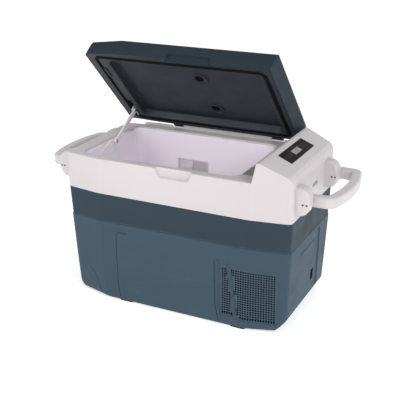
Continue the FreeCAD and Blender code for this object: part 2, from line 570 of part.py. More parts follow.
PW, PL, PT = P["panel_wid"], P["panel_len"], P["panel_thk"]
BTN_V = [-62, -42, 42, 62]
bez = Part.makeBox(PW, PL, PT, V(-PW / 2, -PL / 2, -1.5))
bez = bez.cut(Part.makeBox(P["lens_wid"] + 0.4, P["lens_len"] + 0.4, 2, V(-(P["lens_wid"] + 0.4) / 2, -(P["lens_len"] + 0.4) / 2, PT - 1.5 - P["lens_thk"])))
for v in BTN_V:
    bez = bez.cut(cyl(P["button_dia"] / 2 + 0.3, (0, v, -5), (0, 0, 1), 10))
feature("control_panel", bez, slope_pl(0, 0, 0))
ln = rect_pad("display_lens", "Params.lens_wid", "Params.lens_len", "Params.lens_thk")
node(ln, "display_lens", slope_pl(0, 0, PT - 1.5 - P["lens_thk"]))
for nm, v in zip(["button_power", "button_set", "button_plus", "button_minus"], BTN_V):
    c_ = doc.addObject("Part::Cylinder", nm + "_cap")
    bind(c_, Radius="Params.button_dia / 2", Height="Params.button_ht")
    node(c_, nm, slope_pl(0, v, PT - 1.5 + 0.9 - P["button_ht"]))
# oblong port cover on the right end
pc_ = doc.addObject("PartDesign::Body", "usb_port_body")
sk = pc_.newObject("Sketcher::SketchObject", "usb_port_sketch")
sk.AttachmentSupport = [(origin_plane(pc_, "YZ_Plane"), "")]
sk.MapMode = "FlatFace"
hl, hw = P["port_len"] / 2 - 0.4, P["port_wid"] / 2 - 0.4
sk.addGeometry(Part.LineSegment(V(-hl + hw, -hw, 0), V(hl - hw, -hw, 0)), False)
sk.addGeometry(Part.ArcOfCircle(Part.Circle(V(hl - hw, 0, 0), V(0, 0, 1), hw), -math.pi / 2, math.pi / 2), False)
sk.addGeometry(Part.LineSegment(V(hl - hw, hw, 0), V(-hl + hw, hw, 0)), False)
sk.addGeometry(Part.ArcOfCircle(Part.Circle(V(-hl + hw, 0, 0), V(0, 0, 1), hw), math.pi / 2, 3 * math.pi / 2), False)
doc.recompute()
pad = pc_.newObject("PartDesign::Pad", "usb_port_pad")
pad.Profile = sk
pad.setExpression("Length", "Params.port_thk - 1")
doc.recompute()
node(pc_, "usb_port_cover", FreeCAD.Placement(V(A - 2, PORT_Y - P["shift_y"], PORT_Z), FreeCAD.Rotation()))
# power inlet: a socket shell with an open mouth and two blades inside
IX = 343.7
sock = box(IX - P["inlet_depth"], IX - 1.6, INL[1] - 12, INL[1] + 12, INL[2] - 18, INL[2] + 18).cut(box(IX - P["inlet_depth"] + 3, IX + 5, INL[1] - 9.5, INL[1] + 9.5, INL[2] - 15.5, INL[2] + 15.5))
feature("power_inlet", sock)
blades = []
for k, zz in enumerate((-7, 7), start=1):
    b_ = prim("Box", "inlet_blade_%d_body" % k, (IX - P["inlet_depth"] + 3, INL[1] - 2.5, INL[2] + zz - 0.8))
    b_.Length, b_.Width, b_.Height = 10, 5, 1.6
    blades.append(b_)
bset = doc.addObject("Part::Compound", "inlet_blade_set")
bset.Links = blades
node(bset, "inlet_blades", BASE_PL)

# ---------------------------------------------------------------- hinge rail and pin
HY, HGZ, HH = P["hinge_y"], P["hinge_z"], P["hinge_half"]
rail = prim("Box", "hinge_rail_block", (-HH, HY - 7, RIM))
rail.setExpression("Length", "2 * Params.hinge_half")
rail.Width, rail.Height = 14, 10
rtop = prim("Cylinder", "hinge_rail_round", (-HH, HY, HGZ), (0, 1, 0), 90)
rtop.Radius = 7
rtop.setExpression("Height", "2 * Params.hinge_half")
rf = fuse("hinge_rail_fuse", [rail, rtop])
bore = prim("Cylinder", "hinge_rail_bore", (-HH - 1, HY, HGZ), (0, 1, 0), 90, Radius="Params.hinge_bore_dia / 2")
bore.setExpression("Height", "2 * Params.hinge_half + 2")
node(cut("hinge_rail_cut", rf, bore), "hinge_rail", BASE_PL)
pin = prim("Cylinder", "hinge_pin_rod", (0, 0, 0), None, 0, Radius="Params.hinge_pin_dia / 2")
pin.Height = 368
node(pin, "hinge_pin", FreeCAD.Placement(V(-184, HY - P["shift_y"], HGZ), FreeCAD.Rotation(V(0, 1, 0), 90)))

# ---------------------------------------------------------------- lid (drawn closed)
LU, LR, LRT, LB = P["lid_under"], P["lid_right"], P["lid_right_top"], P["lid_rear"]


def lid_pts(z, xl, xr, yf, yfc, yr, af, c):
    """Lid plan: faceted front left corner like the collar, straight right end."""
    p = [V(-af, yf, z), V(xr - 2, yf, z), V(xr, yf + 2, z), V(xr, yr - 2, z), V(xr - 2, yr, z), V(-af, yr, z)]
    p += [V(-xl + c, yr - 4, z), V(-xl + c * 0.3, yr - 4 - c * 0.3, z), V(-xl, yr - 4 - c, z)]
    p += [V(-xl, -yfc + c, z), V(-xl + c * 0.13, -yfc + c * 0.5, z), V(-xl + c * 0.5, -yfc + c * 0.13, z), V(-xl + c, -yfc, z)]
    return p


LA, LC = P["lid_half_len"], P["lid_corner_wid"]
LID_SECT = [(LU, LA - 0.5, LR, -B + 0.5, LC, LB, 232, 12), (LU + 20, LA - 1.5, LR + 4, -B + 0.8, LC - 0.5, LB, 232, 12), (LU + 42, LA - 5, LRT - 2.5, -B + 2, LC - 2.5, LB - 1, 231, 12),
            (LU + 49, LA - 10, LRT - 1.5, -B + 5.5, LC - 7, LB - 4, 228, 12), (TOP, LA - 20, LRT - 6, -B + 13.5, LC - 16, LB - 11, 222, 12)]
lid_o = Part.makeLoft([polywire(lid_pts(*s)) for s in LID_SECT], True, True)
t = 3.0
LID_IN = [(LU - 1, LA - 0.5 - t, LR - t, -B + 0.5 + t, LC - t, LB - t, 231, 10), (LU + 20, LA - 1.5 - t, LR + 4 - t, -B + 0.8 + t, LC - 0.5 - t, LB - t, 231, 10),
          (LU + 41, LA - 5 - t, LRT - 2.5 - t, -B + 2 + t, LC - 2.5 - t, LB - 1 - t, 230, 10), (LU + 46, LA - 10 - t, LRT - 2.5 - t, -B + 6.5 + t, LC - 8 - t, LB - 5 - t, 227, 10),
          (TOP - t, LA - 19 - t, LRT - 8 - t, -B + 13.5 + t, LC - 16 - t, LB - 11 - t, 221, 10)]
lid_i = Part.makeLoft([polywire(lid_pts(*s)) for s in LID_IN], True, True)
shell = lid_o.cut(lid_i)
# grip recess in the front wall
grip = prism_xz([(-68, LU - 2), (65, LU - 2), (62, LU + 18), (-65, LU + 18)], -B - 2, -B + 11)
grip_pad = prism_xz([(-71, LU), (68, LU), (65, LU + 21), (-68, LU + 21)], -B + 6, -B + 14).common(lid_o)
shell = shell.fuse(grip_pad).cut(grip)
# ears that carry the hinge pin, at both ends of the rail
for sx in (1, -1):
    xa, xb = (HH + 0.6, HH + 35) if sx > 0 else (-HH - 35, -HH - 0.6)
    ear = cyl(6.4, (xa, HY, HGZ), (1, 0, 0), xb - xa).fuse(box(xa, xb, LB - 1.5, HY, LU, LU + 10.2))
    shell = shell.fuse(ear).cut(cyl(P["hinge_pin_dia"] / 2, (xa - 1, HY, HGZ), (1, 0, 0), xb - xa + 2))
shell = sorted(shell.removeSplitter().Solids, key=lambda s: -s.Volume)[0]
feature("lid_shell", shell, LID_PL)
# stay channel limits in the lid underside
CH = (-303.0, -289.0, 62.0, 153.5, LU + 21)
TL, TR, TF, TB, TD = P["tray_left"], P["tray_right"], P["tray_front"], P["tray_rear"], P["tray_depth"]
lin_pts = [(LU, LA - t - 0.8, LR - t - 0.3, -B + t + 0.8, LC - t - 0.3, LB - t - 0.3, 231, 10), (LU + 3, LA - t - 1.1, LR + 0.6 - t - 0.3, -B + t + 1.0, LC - t - 0.6, LB - t - 0.3, 231, 10)]
ll = Part.makeLoft([polywire(lid_pts(*s)) for s in lin_pts], True, True)


def tray(o, zlow, zhigh):
    a = rounded_wire(-TL - o, TR + o, -TF - o, TB + o, 22 + o, zlow)
    b_ = rounded_wire(-TL + 6 - o, TR - 6 + o, -TF + 6 - o, TB - 6 + o, 20 + o, zhigh)
    return Part.makeLoft([a, b_], True, True)


tray_o = tray(2.2, LU, LU + TD + 2.2)
tray_i = tray(0, LU - 0.5, LU + TD)
ll = ll.fuse(tray_o).cut(tray_i)
chan_o = box(CH[0] - 2, CH[1] + 2, CH[2] - 2, CH[3] + 2, LU, CH[4] + 2)
ll = ll.fuse(chan_o).cut(box(CH[0], CH[1], CH[2], CH[3], LU - 1, CH[4]))
ll = ll.cut(grip_pad.fuse(prism_xz([(-71.5, LU - 1), (68.5, LU - 1), (65.5, LU + 21), (-68.5, LU + 21)], -B - 1, -B + 14.3)))
ll = sorted(ll.removeSplitter().Solids, key=lambda s: -s.Volume)[0]
feature("lid_liner", ll, LID_PL)
# foam core between shell and liner
LF = [(LU + 3.5, LA - t - 2.1, LR - t - 1.0, -B + t + 2.0, LC - t - 2, LB - t - 1, 230, 10), (LU + 38, LA - 6 - t - 1, LR + 7 - t - 1, -B + 3.5 + t + 1, LC - 3.5 - t - 1, LB - 2 - t - 1, 228, 10),
      (TOP - t - 1.5, LA - 24 - t, LRT - 13 - t, -B + 19 + t, LC - 22 - t, LB - 15 - t, 216, 10)]
lfoam = Part.makeLoft([polywire(lid_pts(*s)) for s in LF], True, True)
lfoam = lfoam.cut(tray(2.5, LU, LU + TD + 2.5)).cut(box(CH[0] - 2.3, CH[1] + 2.3, CH[2] - 2.3, CH[3] + 2.3, LU, CH[4] + 2.4)).cut(prism_xz([(-74, LU - 1), (71, LU - 1), (68, LU + 22), (-71, LU + 22)], -B - 1, -B + 14.5))
lfoam = sorted(lfoam.Solids, key=lambda s: -s.Volume)[0]
feature("lid_foam", lfoam, LID_PL)
GL, GR, GF, GB, GW, GT = P["gasket_left"], P["gasket_right"], P["gasket_front"], P["gasket_rear"], P["gasket_wid"], P["gasket_thk"]
gk = rounded_prism(-GL, GR, -GF, GB, 24, LU - GT, LU).cut(rounded_prism(-GL + GW, GR - GW, -GF + GW, GB - GW, 16, LU - GT - 1, LU + 1))
feature("lid_gasket", gk, LID_PL)
# round port plugs on the tray floor
for nm, x, y in [("lid_plug_front", -7, -72), ("lid_plug_rear", -5, 82)]:
    a_ = prim("Cylinder", nm + "_disc", (x, y, LU + TD - P["plug_thk"]), Radius="Params.plug_dia / 2", Height="Params.plug_thk")
    b_ = prim("Cylinder", nm + "_dish", (x, y, LU + TD - P["plug_thk"] - 1), Radius="Params.plug_dia / 2 - 8", Height="Params.plug_thk / 2 + 1")
    node(cut(nm + "_cut", a_, b_), nm, LID_PL)
# magnet block for the lid switch, in the left flange
mg = prim("Box", "lid_magnet_body", (0, 0, 0))
mg.Length, mg.Width, mg.Height = 9, 40, 2.0
node(mg, "lid_magnet", LID_PL.multiply(FreeCAD.Placement(V(-302.5, -109, LU - 2.0), FreeCAD.Rotation())))

# ---------------------------------------------------------------- lid stay
SY, SZ, SL = P["stay_y"], P["stay_z"], P["stay_len"]
SX0 = -296.5          # left face of the arm
ST = P["stay_thk"]
ratio = (P["stay_open"] - P["stay_shut"]) / P["lid_open"]
path = []
for k in range(9):
    th = math.radians(P["lid_open"] * k / 8.0)
    ph = math.radians(P["stay_shut"]) + ratio * th
    y, z = SY + SL * math.cos(ph), SZ + SL * math.sin(ph)
    dy, dz = y - HY, z - HGZ
    yc = HY + dy * math.cos(th) - dz * math.sin(th)
    zc = HGZ + dy * math.sin(th) + dz * math.cos(th)
    path.append((yc, zc))
gx0, gx1 = SX0 - 3.4, SX0 - 1.2
ys = [p[0] for p in path]
guide = box(gx0, gx1, min(ys) - 10, min(max(ys) + 6, CH[3] - 0.3), LU - 10.5, CH[4] - 0.2)
slot_r = 3.6
slot = None
for k in range(len(path) - 1):
    (y0, z0), (y1, z1) = path[k], path[k + 1]
    L = math.hypot(y1 - y0, z1 - z0)
    seg = Part.makeBox(10, L, 2 * slot_r, V(gx0 - 4, 0, -slot_r))
    seg.rotate(V(0, 0, 0), V(1, 0, 0), math.degrees(math.atan2(z1 - z0, y1 - y0)))
    seg.translate(V(0, y0, z0))
    c0 = cyl(slot_r, (gx0 - 4, y0, z0), (1, 0, 0), 10)
    slot = seg.fuse(c0) if slot is None else slot.fuse(seg).fuse(c0)
slot = slot.fuse(cyl(slot_r, (gx0 - 4, path[-1][0], path[-1][1]), (1, 0, 0), 10))
guide = guide.cut(slot)
# the part that drops below the lid flange stops short of the seal and of the mouth's corner
guide = guide.cut(box(gx0 - 1, gx1 + 1, 128, 170, LU - 14, LU + 0.3))
feature("stay_guide", sorted(guide.Solids, key=lambda s: -s.Volume)[0], LID_PL)
# bracket on the left inner wall of the collar, and its pivot pin
brk = prism_yz([(-66, 410), (-2, 437), (22, 437), (24, 392), (-50, 392)], -299.9, SX0 - 0.4)
brk = brk.fuse(box(-OL, -299.5, -48, 20, 408, 434))
brk = brk.cut(cyl(3.0, (-OL - 1, SY, SZ), (1, 0, 0), 20))
feature("stay_bracket", brk.removeSplitter())
pp = prim("Cylinder", "stay_pivot_pin_rod", (0, 0, 0))
pp.Radius, pp.Height = 3.0, 14
node(pp, "stay_pivot_pin", FreeCAD.Placement(V(-303.5, SY - P["shift_y"], SZ), FreeCAD.Rotation(V(0, 1, 0), 90)))
# arm: flat link with round ends, drawn level along +Y then turned up to the open angle
arm = box(SX0, SX0 + ST, 0, SL, -P["stay_wid"] / 2, P["stay_wid"] / 2)
arm = arm.fuse(cyl(8, (SX0, 0, 0), (1, 0, 0), ST)).fuse(cyl(5.5, (SX0, SL, 0), (1, 0, 0), ST))
arm = arm.cut(cyl(3.05, (SX0 - 1, 0, 0), (1, 0, 0), 10)).cut(cyl(2.5, (SX0 - 1, SL, 0), (1, 0, 0), 10))
ARM_PL = FreeCAD.Placement(V(0, SY - P["shift_y"], SZ), FreeCAD.Rotation(V(1, 0, 0), P["stay_open"]))
feature("stay_arm", arm.removeSplitter(), ARM_PL)
sp = prim("Cylinder", "stay_slide_pin_rod", (0, 0, 0))
sp.Radius, sp.Height = 2.5, 11
node(sp, "stay_slide_pin", ARM_PL.multiply(FreeCAD.Placement(V(SX0 - 5, SL, 0), FreeCAD.Rotation(V(0, 1, 0), 90))))

# ---------------------------------------------------------------- handles
HHT, HW, HR, HB = P["handle_ht"], P["handle_wid"], P["handle_reach"], P["handle_bow"]
ARM_Y = [(-117.4, -91.4), (125.0, 151.0)]


def handle(sx, name):
    """U-shaped grip: two arms behind their bosses joined by a bowed bar."""
    x0 = HX - 15
    yo0, yo1 = ARM_Y[0][0], ARM_Y[1][1]
    yi0, yi1 = ARM_Y[0][1], ARM_Y[1][0]
    ym = (yo0 + yo1) / 2
    rc = 30.0
    def P2(x, y):
        return V(sx * x, y, 0)
    xo, xi = HR, HR - HW
    q = math.sqrt(0.5)
    es = [Part.makeLine(P2(x0, yo0), P2(xo - rc, yo0)),
          Part.Arc(P2(xo - rc, yo0), P2(xo - rc + rc * q, yo0 + rc - rc * q), P2(xo, yo0 + rc)).toShape(),
          Part.Arc(P2(xo, yo0 + rc), P2(xo + HB, ym), P2(xo, yo1 - rc)).toShape(),
          Part.Arc(P2(xo, yo1 - rc), P2(xo - rc + rc * q, yo1 - rc + rc * q), P2(xo - rc, yo1)).toShape(),
          Part.makeLine(P2(xo - rc, yo1), P2(x0, yo1)),
          Part.makeLine(P2(x0, yo1), P2(x0, yi1)),
          Part.makeLine(P2(x0, yi1), P2(xi - 8, yi1)),
          Part.Arc(P2(xi - 8, yi1), P2(xi - 8 + 8 * q, yi1 - 8 + 8 * q), P2(xi, yi1 - 8)).toShape(),
          Part.Arc(P2(xi, yi1 - 8), P2(xi + HB, ym), P2(xi, yi0 + 8)).toShape(),
          Part.Arc(P2(xi, yi0 + 8), P2(xi - 8 + 8 * q, yi0 + 8 - 8 * q), P2(xi - 8, yi0)).toShape(),
          Part.makeLine(P2(xi - 8, yi0), P2(x0, yi0)),
          Part.makeLine(P2(x0, yi0), P2(x0, yo0))]
    w = Part.Wire(Part.__sortEdges__(es))
    s = Part.Face(w).extrude(V(0, 0, HHT))
    s.translate(V(0, 0, HZ - HHT / 2))
    # round the pivot ends of both arms
    for y0, y1 in ARM_Y:
        blk = box(min(sx * (x0 - 1), sx * HX), max(sx * (x0 - 1), sx * HX), y0 - 1, y1 + 1, HZ - HHT, HZ + HHT)
        s = s.cut(blk.cut(cyl(HHT / 2 - 1, (sx * HX, y0 - 2, HZ), (0, 1, 0), y1 - y0 + 4)))
    for y0, y1 in ARM_Y:
        s = s.cut(cyl(P["handle_pin_dia"] / 2, (sx * HX, y0 - 1, HZ), (0, 1, 0), 16))
    top = [e for e in s.Edges if all(abs(abs(v.Point.z - HZ) - HHT / 2) < 1e-4 for v in e.Vertexes) and abs(e.CenterOfMass.z - HZ) > HHT / 2 - 0.1 and sx * e.CenterOfMass.x > HX + 12]
    try:
        s2 = s.makeFillet(6.0, top)
        if s2.isValid() and s2.Volume > 0.8 * s.Volume:
            s = s2
    except Exception:
        print("handle fillet skipped", name)
    s = sorted(s.Solids, key=lambda q_: -q_.Volume)[0]
    feature(name, s)
    for k, (y0, y1) in enumerate(ARM_Y):
        pn = doc.addObject("Part::Cylinder", name + "_pin_rod_%d" % k)
        bind(pn, Radius="Params.handle_pin_dia / 2", Height="Params.handle_pin_len")
        nm = name + ("_pin_front" if k == 0 else "_pin_rear")
        # the pin starts inside the boss and ends inside the arm
        node(pn, nm, FreeCAD.Placement(V(sx * HX, y0 + 14.5 - P["shift_y"], HZ), FreeCAD.Rotation(V(1, 0, 0), 90)))


handle(1, "handle_right")
handle(-1, "handle_left")
# boss screws: two small heads in the front of each boss
for sx, sn in ((1, "right"), (-1, "left")):
    heads = []
    for (y0, y1), fn in zip(BOSS_Y, ("front", "rear")):
        s1 = prim("Cylinder", "boss_screw_%s_%s_a" % (sn, fn), (sx * (HX - 2), y0 + 4, HZ + 1), (1, 0, 0), 90)
        s2 = prim("Cylinder", "boss_screw_%s_%s_b" % (sn, fn), (sx * (HX + 8), y0 + 4, HZ + 1), (1, 0, 0), 90)
        for s_ in (s1, s2):
            s_.Radius, s_.Height = 2.1, 3.6
        heads += [s1, s2]
    cmp_ = doc.addObject("Part::Compound", "boss_screws_%s_set" % sn)
    cmp_.Links = heads
    node(cmp_, "boss_screws_%s" % sn, BASE_PL)

# ---------------------------------------------------------------- write out
doc.recompute()
bad = [o.Name for o in doc.Objects if "Invalid" in o.State or "Error" in o.State]
if bad:
    raise RuntimeError("objects in error: %s" % bad)
os.makedirs("parts", exist_ok=True)
for old in os.listdir("parts"):
    if old.endswith(".step"):
        os.remove(os.path.join("parts", old))
box_all = FreeCAD.BoundBox()
for name, obj in NODES:
    sh = obj.Shape
    if sh.isNull() or not sh.isValid() or sh.Volume < 1:
        raise RuntimeError("bad shape in %s" % name)
    bb = sh.BoundBox
    box_all.add(bb)
    print("%-26s vol %10.1f cm3 solids %d  x %.1f..%.1f y %.1f..%.1f z %.1f..%.1f" % (name, sh.Volume / 1000.0, len(sh.Solids), bb.XMin, bb.XMax, bb.YMin, bb.YMax, bb.ZMin, bb.ZMax))
    sh.exportStep("parts/%s.step" % name)
print("nodes", len(NODES), "box", [round(v, 2) for v in (box_all.XMin, box_all.XMax, box_all.YMin, box_all.YMax, box_all.ZMin, box_all.ZMax)])
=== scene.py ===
import bpy
import bmesh
import math
import numpy as np
from mathutils import Vector, Matrix


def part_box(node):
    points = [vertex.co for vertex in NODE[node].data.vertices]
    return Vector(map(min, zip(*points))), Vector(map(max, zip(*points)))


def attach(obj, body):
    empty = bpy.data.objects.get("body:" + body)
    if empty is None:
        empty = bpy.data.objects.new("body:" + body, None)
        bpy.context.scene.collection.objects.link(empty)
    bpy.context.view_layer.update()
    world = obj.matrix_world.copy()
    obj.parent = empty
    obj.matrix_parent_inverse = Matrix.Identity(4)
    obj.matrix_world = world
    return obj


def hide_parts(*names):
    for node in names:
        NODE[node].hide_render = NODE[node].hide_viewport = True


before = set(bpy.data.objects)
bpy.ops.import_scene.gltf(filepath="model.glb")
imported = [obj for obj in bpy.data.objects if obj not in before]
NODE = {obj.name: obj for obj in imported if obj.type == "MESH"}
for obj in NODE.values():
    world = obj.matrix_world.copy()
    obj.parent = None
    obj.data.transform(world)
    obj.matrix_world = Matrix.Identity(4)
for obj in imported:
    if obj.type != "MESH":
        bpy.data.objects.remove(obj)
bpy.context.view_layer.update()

# ------------------------------------------------------------------ sizes
# Everything below is drawn in millimetres with y measured from the middle of
# the cabinet; W() turns that into the row frame. The cabinet's middle is read
# off the collar's box.
_lo, _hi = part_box("upper_collar")
SH = -(_lo.y + _hi.y) / 2 * 1000.0
A, B, BC, AF = 348.0, 190.0, 174.0, 235.0
SEAM, RIM, TOP = 336.0, 440.0, 495.0
HINGE_Y, HINGE_Z, LID_OPEN = 190.0, 447.0, 45.7
LU = 443.0


def W(p):
    p = np.asarray(p, float).reshape(-1, 3)
    return np.column_stack([p[:, 0], p[:, 1] - SH, p[:, 2]]) / 1000.0


# ------------------------------------------------------------------ mesh tools
def link(ob):
    bpy.context.scene.collection.objects.link(ob)
    return ob


def mesh_obj(name, verts, faces):
    me = bpy.data.meshes.new(name)
    me.from_pydata([tuple(v) for v in W(verts)], [], faces)
    bm = bmesh.new()
    bm.from_mesh(me)
    bmesh.ops.recalc_face_normals(bm, faces=bm.faces)
    bm.to_mesh(me)
    bm.free()
    me.validate()
    return link(bpy.data.objects.new(name, me))


def apply_mods(ob):
    dg = bpy.context.evaluated_depsgraph_get()
    me = bpy.data.meshes.new_from_object(ob.evaluated_get(dg))
    old = ob.data
    ob.modifiers.clear()
    ob.data = me
    me.name = ob.name
    bpy.data.meshes.remove(old)
    return ob


def boolean(ob, tool, op="DIFFERENCE", solver="EXACT"):
    m = ob.modifiers.new("bool", "BOOLEAN")
    m.object = tool
    m.operation = op
    m.solver = solver
    apply_mods(ob)
    me = tool.data
    bpy.data.objects.remove(tool)
    bpy.data.meshes.remove(me)
    return ob


def join(name, obs):
    """Merge objects into one mesh object without moving anything."""
    bm = bmesh.new()
    for o in obs:
        bm.from_mesh(o.data)
    me = bpy.data.meshes.new(name)
    bm.to_mesh(me)
    bm.free()
    for o in obs:
        d = o.data
        bpy.data.objects.remove(o)
        bpy.data.meshes.remove(d)
    return link(bpy.data.objects.new(name, me))


def bevel(ob, width, segs=2, angle=32):
    m = ob.modifiers.new("bev", "BEVEL")
    m.width = width / 1000.0
    m.segments = segs
    m.limit_method = "ANGLE"
    m.angle_limit = math.radians(angle)
    m.use_clamp_overlap = True
    m.miter_outer = "MITER_ARC"
    return apply_mods(ob)


def tidy(ob, dist=0.00002):
    bm = bmesh.new()
    bm.from_mesh(ob.data)
    bmesh.ops.remove_doubles(bm, verts=bm.verts, dist=dist)
    bmesh.ops.dissolve_degenerate(bm, edges=bm.edges, dist=dist)
    bmesh.ops.recalc_face_normals(bm, faces=bm.faces)
    bm.to_mesh(ob.data)
    bm.free()
    return ob


def shade(ob, angle=38, weighted=True):
    me = ob.data
    for p in me.polygons:
        p.use_smooth = True
    me.set_sharp_from_angle(angle=math.radians(angle))
    if weighted:
        m = ob.modifiers.new("wn", "WEIGHTED_NORMAL")
        m.keep_sharp = True
        m.mode = "FACE_AREA"
        m.weight = 80
        apply_mods(ob)
    return ob


def done(ob, body, mat, replaces=(), angle=38, weighted=True, lid=False):
    if lid:
        swing(ob)
    shade(ob, angle, weighted)
    ob.data.materials.clear()
    ob.data.materials.append(mat)
    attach(ob, body)
    if replaces:
        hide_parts(*replaces)
    return ob


def swing(ob):
    """Turns a lid piece drawn closed to the open pose."""
    c = Vector((0, (HINGE_Y - SH) / 1000, HINGE_Z / 1000))
    m = Matrix.Translation(c) @ Matrix.Rotation(math.radians(-LID_OPEN), 4, "X") @ Matrix.Translation(-c)
    ob.data.transform(m)
    return ob


def fillet(pts, rad, seg=8):
    """Closed polygon with every corner rounded; constant point count."""
    n = len(pts)
    P = [np.array(p, float) for p in pts]
    if not hasattr(rad, "__len__"):
        rad = [rad] * n
    if not hasattr(seg, "__len__"):
        seg = [seg] * n
    out = []
    for i in range(n):
        p0, p, p1 = P[i - 1], P[i], P[(i + 1) % n]
        d0, d1 = p0 - p, p1 - p
        l0, l1 = np.linalg.norm(d0), np.linalg.norm(d1)
        d0, d1 = d0 / l0, d1 / l1
        ang = math.acos(max(-1, min(1, float(d0 @ d1))))
        t = min(rad[i] / math.tan(ang / 2), 0.47 * l0, 0.47 * l1)
        r = t * math.tan(ang / 2)
        bis = (d0 + d1) / np.linalg.norm(d0 + d1)
        c = p + bis * (r / math.sin(ang / 2))
        a0 = math.atan2(*(p + d0 * t - c)[::-1])
        a1 = math.atan2(*(p + d1 * t - c)[::-1])
        da = (a1 - a0 + math.pi) % (2 * math.pi) - math.pi
        for k in range(seg[i] + 1):
            a = a0 + da * k / seg[i]
            out.append(c + r * np.array([math.cos(a), math.sin(a)]))
    return np.array(out)


def rrect(x0, x1, y0, y1, r, seg=8):
    return fillet([(x0, y0), (x1, y0), (x1, y1), (x0, y1)], r, seg)


def shrink(o, d):
    c = o.mean(0)
    v = c - o
    return o + v / np.linalg.norm(v, axis=1)[:, None] * d


def rz(o, z):
    return np.column_stack([o, np.full(len(o), float(z))])


def ry(o, y):
    return np.column_stack([o[:, 0], np.full(len(o), float(y)), o[:, 1]])


def rx(o, x):
    return np.column_stack([np.full(len(o), float(x)), o])


def loft(name, rings, cap0=True, cap1=True, closed=False):
    n = len(rings[0])
    V = np.vstack(rings)
    F = []
    m = len(rings)
    for i in range(m if closed else m - 1):
        a, b = i * n, ((i + 1) % m) * n
        for k in range(n):
            k2 = (k + 1) % n
            F.append((a + k, a + k2, b + k2, b + k))
    if not closed:
        if cap0:
            F.append(tuple(range(n))[::-1])
        if cap1:
            F.append(tuple(range((m - 1) * n, m * n)))
    return mesh_obj(name, V, F)


def tube(name, pts, r, n=12, squash=None, up=(0, 0, 1)):
    """Capped tube along points; squash=(w, h) makes an elliptic section whose
    h direction is as near to up as it can be."""
    P = [np.array(p, float) for p in pts]
    rings = []
    upv = np.array(up, float)
    for i, p in enumerate(P):
        if i == 0:
            t = P[1] - P[0]
        elif i == len(P) - 1:
            t = P[-1] - P[-2]
        else:
            t = (P[i + 1] - P[i]) / np.linalg.norm(P[i + 1] - P[i]) + (P[i] - P[i - 1]) / np.linalg.norm(P[i] - P[i - 1])
        t = t / np.linalg.norm(t)
        u = upv - (upv @ t) * t
        if np.linalg.norm(u) < 1e-6:
            # the path runs along up: any other reference will do
            ref = np.array([0.0, 1.0, 0.0]) if abs(t[1]) < 0.9 else np.array([1.0, 0.0, 0.0])
            u = ref - (ref @ t) * t
        u = u / np.linalg.norm(u)
        s = np.cross(t, u)
        w, h = squash if squash else (r, r)
        rings.append(np.array([p + s * w * math.cos(a) + u * h * math.sin(a) for a in np.linspace(0, 2 * math.pi, n, endpoint=False)]))
    return loft(name, rings)


def smooth_path(pts, rad, seg=6):
    """Open 3-D path whose inner corners are rounded."""
    P = [np.array(p, float) for p in pts]
    out = [P[0]]
    for i in range(1, len(P) - 1):
        d0, d1 = P[i - 1] - P[i], P[i + 1] - P[i]
        l0, l1 = np.linalg.norm(d0), np.linalg.norm(d1)
        t = min(rad, 0.45 * l0, 0.45 * l1)
        a, b = P[i] + d0 / l0 * t, P[i] + d1 / l1 * t
        for k in range(seg + 1):
            s = k / seg
            out.append((1 - s) ** 2 * a + 2 * s * (1 - s) * P[i] + s * s * b)
    out.append(P[-1])
    return out


def bbox_obj(name, x0, x1, y0, y1, z0, z1, r=0.0, seg=2):
    v = [(x, y, z) for x in (x0, x1) for y in (y0, y1) for z in (z0, z1)]
    f = [(0, 1, 3, 2), (4, 6, 7, 5), (0, 4, 5, 1), (2, 3, 7, 6), (0, 2, 6, 4), (1, 5, 7, 3)]
    o = mesh_obj(name, v, f)
    if r > 0:
        bevel(o, r, seg, 30)
    return o


def disc(name, c, axis, prof, n=40):
    """Turned piece: prof is a list of (radius, height) along axis from c."""
    ax = np.array(axis, float) / np.linalg.norm(axis)
    u = np.cross(ax, (0, 0, 1) if abs(ax[2]) < 0.9 else (1, 0, 0))
    u /= np.linalg.norm(u)
    v = np.cross(ax, u)
    c = np.array(c, float)
    V, F = [], []
    rings = []
    for r, h in prof:
        if r < 1e-6:
            rings.append([len(V)])
            V.append(c + ax * h)
        else:
            ids = []
            for k in range(n):
                a = 2 * math.pi * k / n
                ids.append(len(V))
                V.append(c + ax * h + (u * math.cos(a) + v * math.sin(a)) * r)
            rings.append(ids)
    for p, q in zip(rings[:-1], rings[1:]):
        for k in range(n):
            k2 = (k + 1) % n
            if len(p) == 1 and len(q) > 1:
                F.append((p[0], q[k], q[k2]))
            elif len(q) == 1 and len(p) > 1:
                F.append((p[k], q[0], p[k2]))
            elif len(p) > 1:
                F.append((p[k], q[k], q[k2], p[k2]))
    return mesh_obj(name, V, F)


# ------------------------------------------------------------------ materials
def new_mat(name):
    m = bpy.data.materials.new(name)
    m.use_nodes = True
    nt = m.node_tree
    bsdf = next(n for n in nt.nodes if n.type == "BSDF_PRINCIPLED")
    return m, nt, bsdf


def lin(rgb):
    return tuple(((c / 255) / 12.92 if c / 255 <= 0.04045 else ((c / 255 + 0.055) / 1.055) ** 2.4) for c in rgb) + (1.0,)


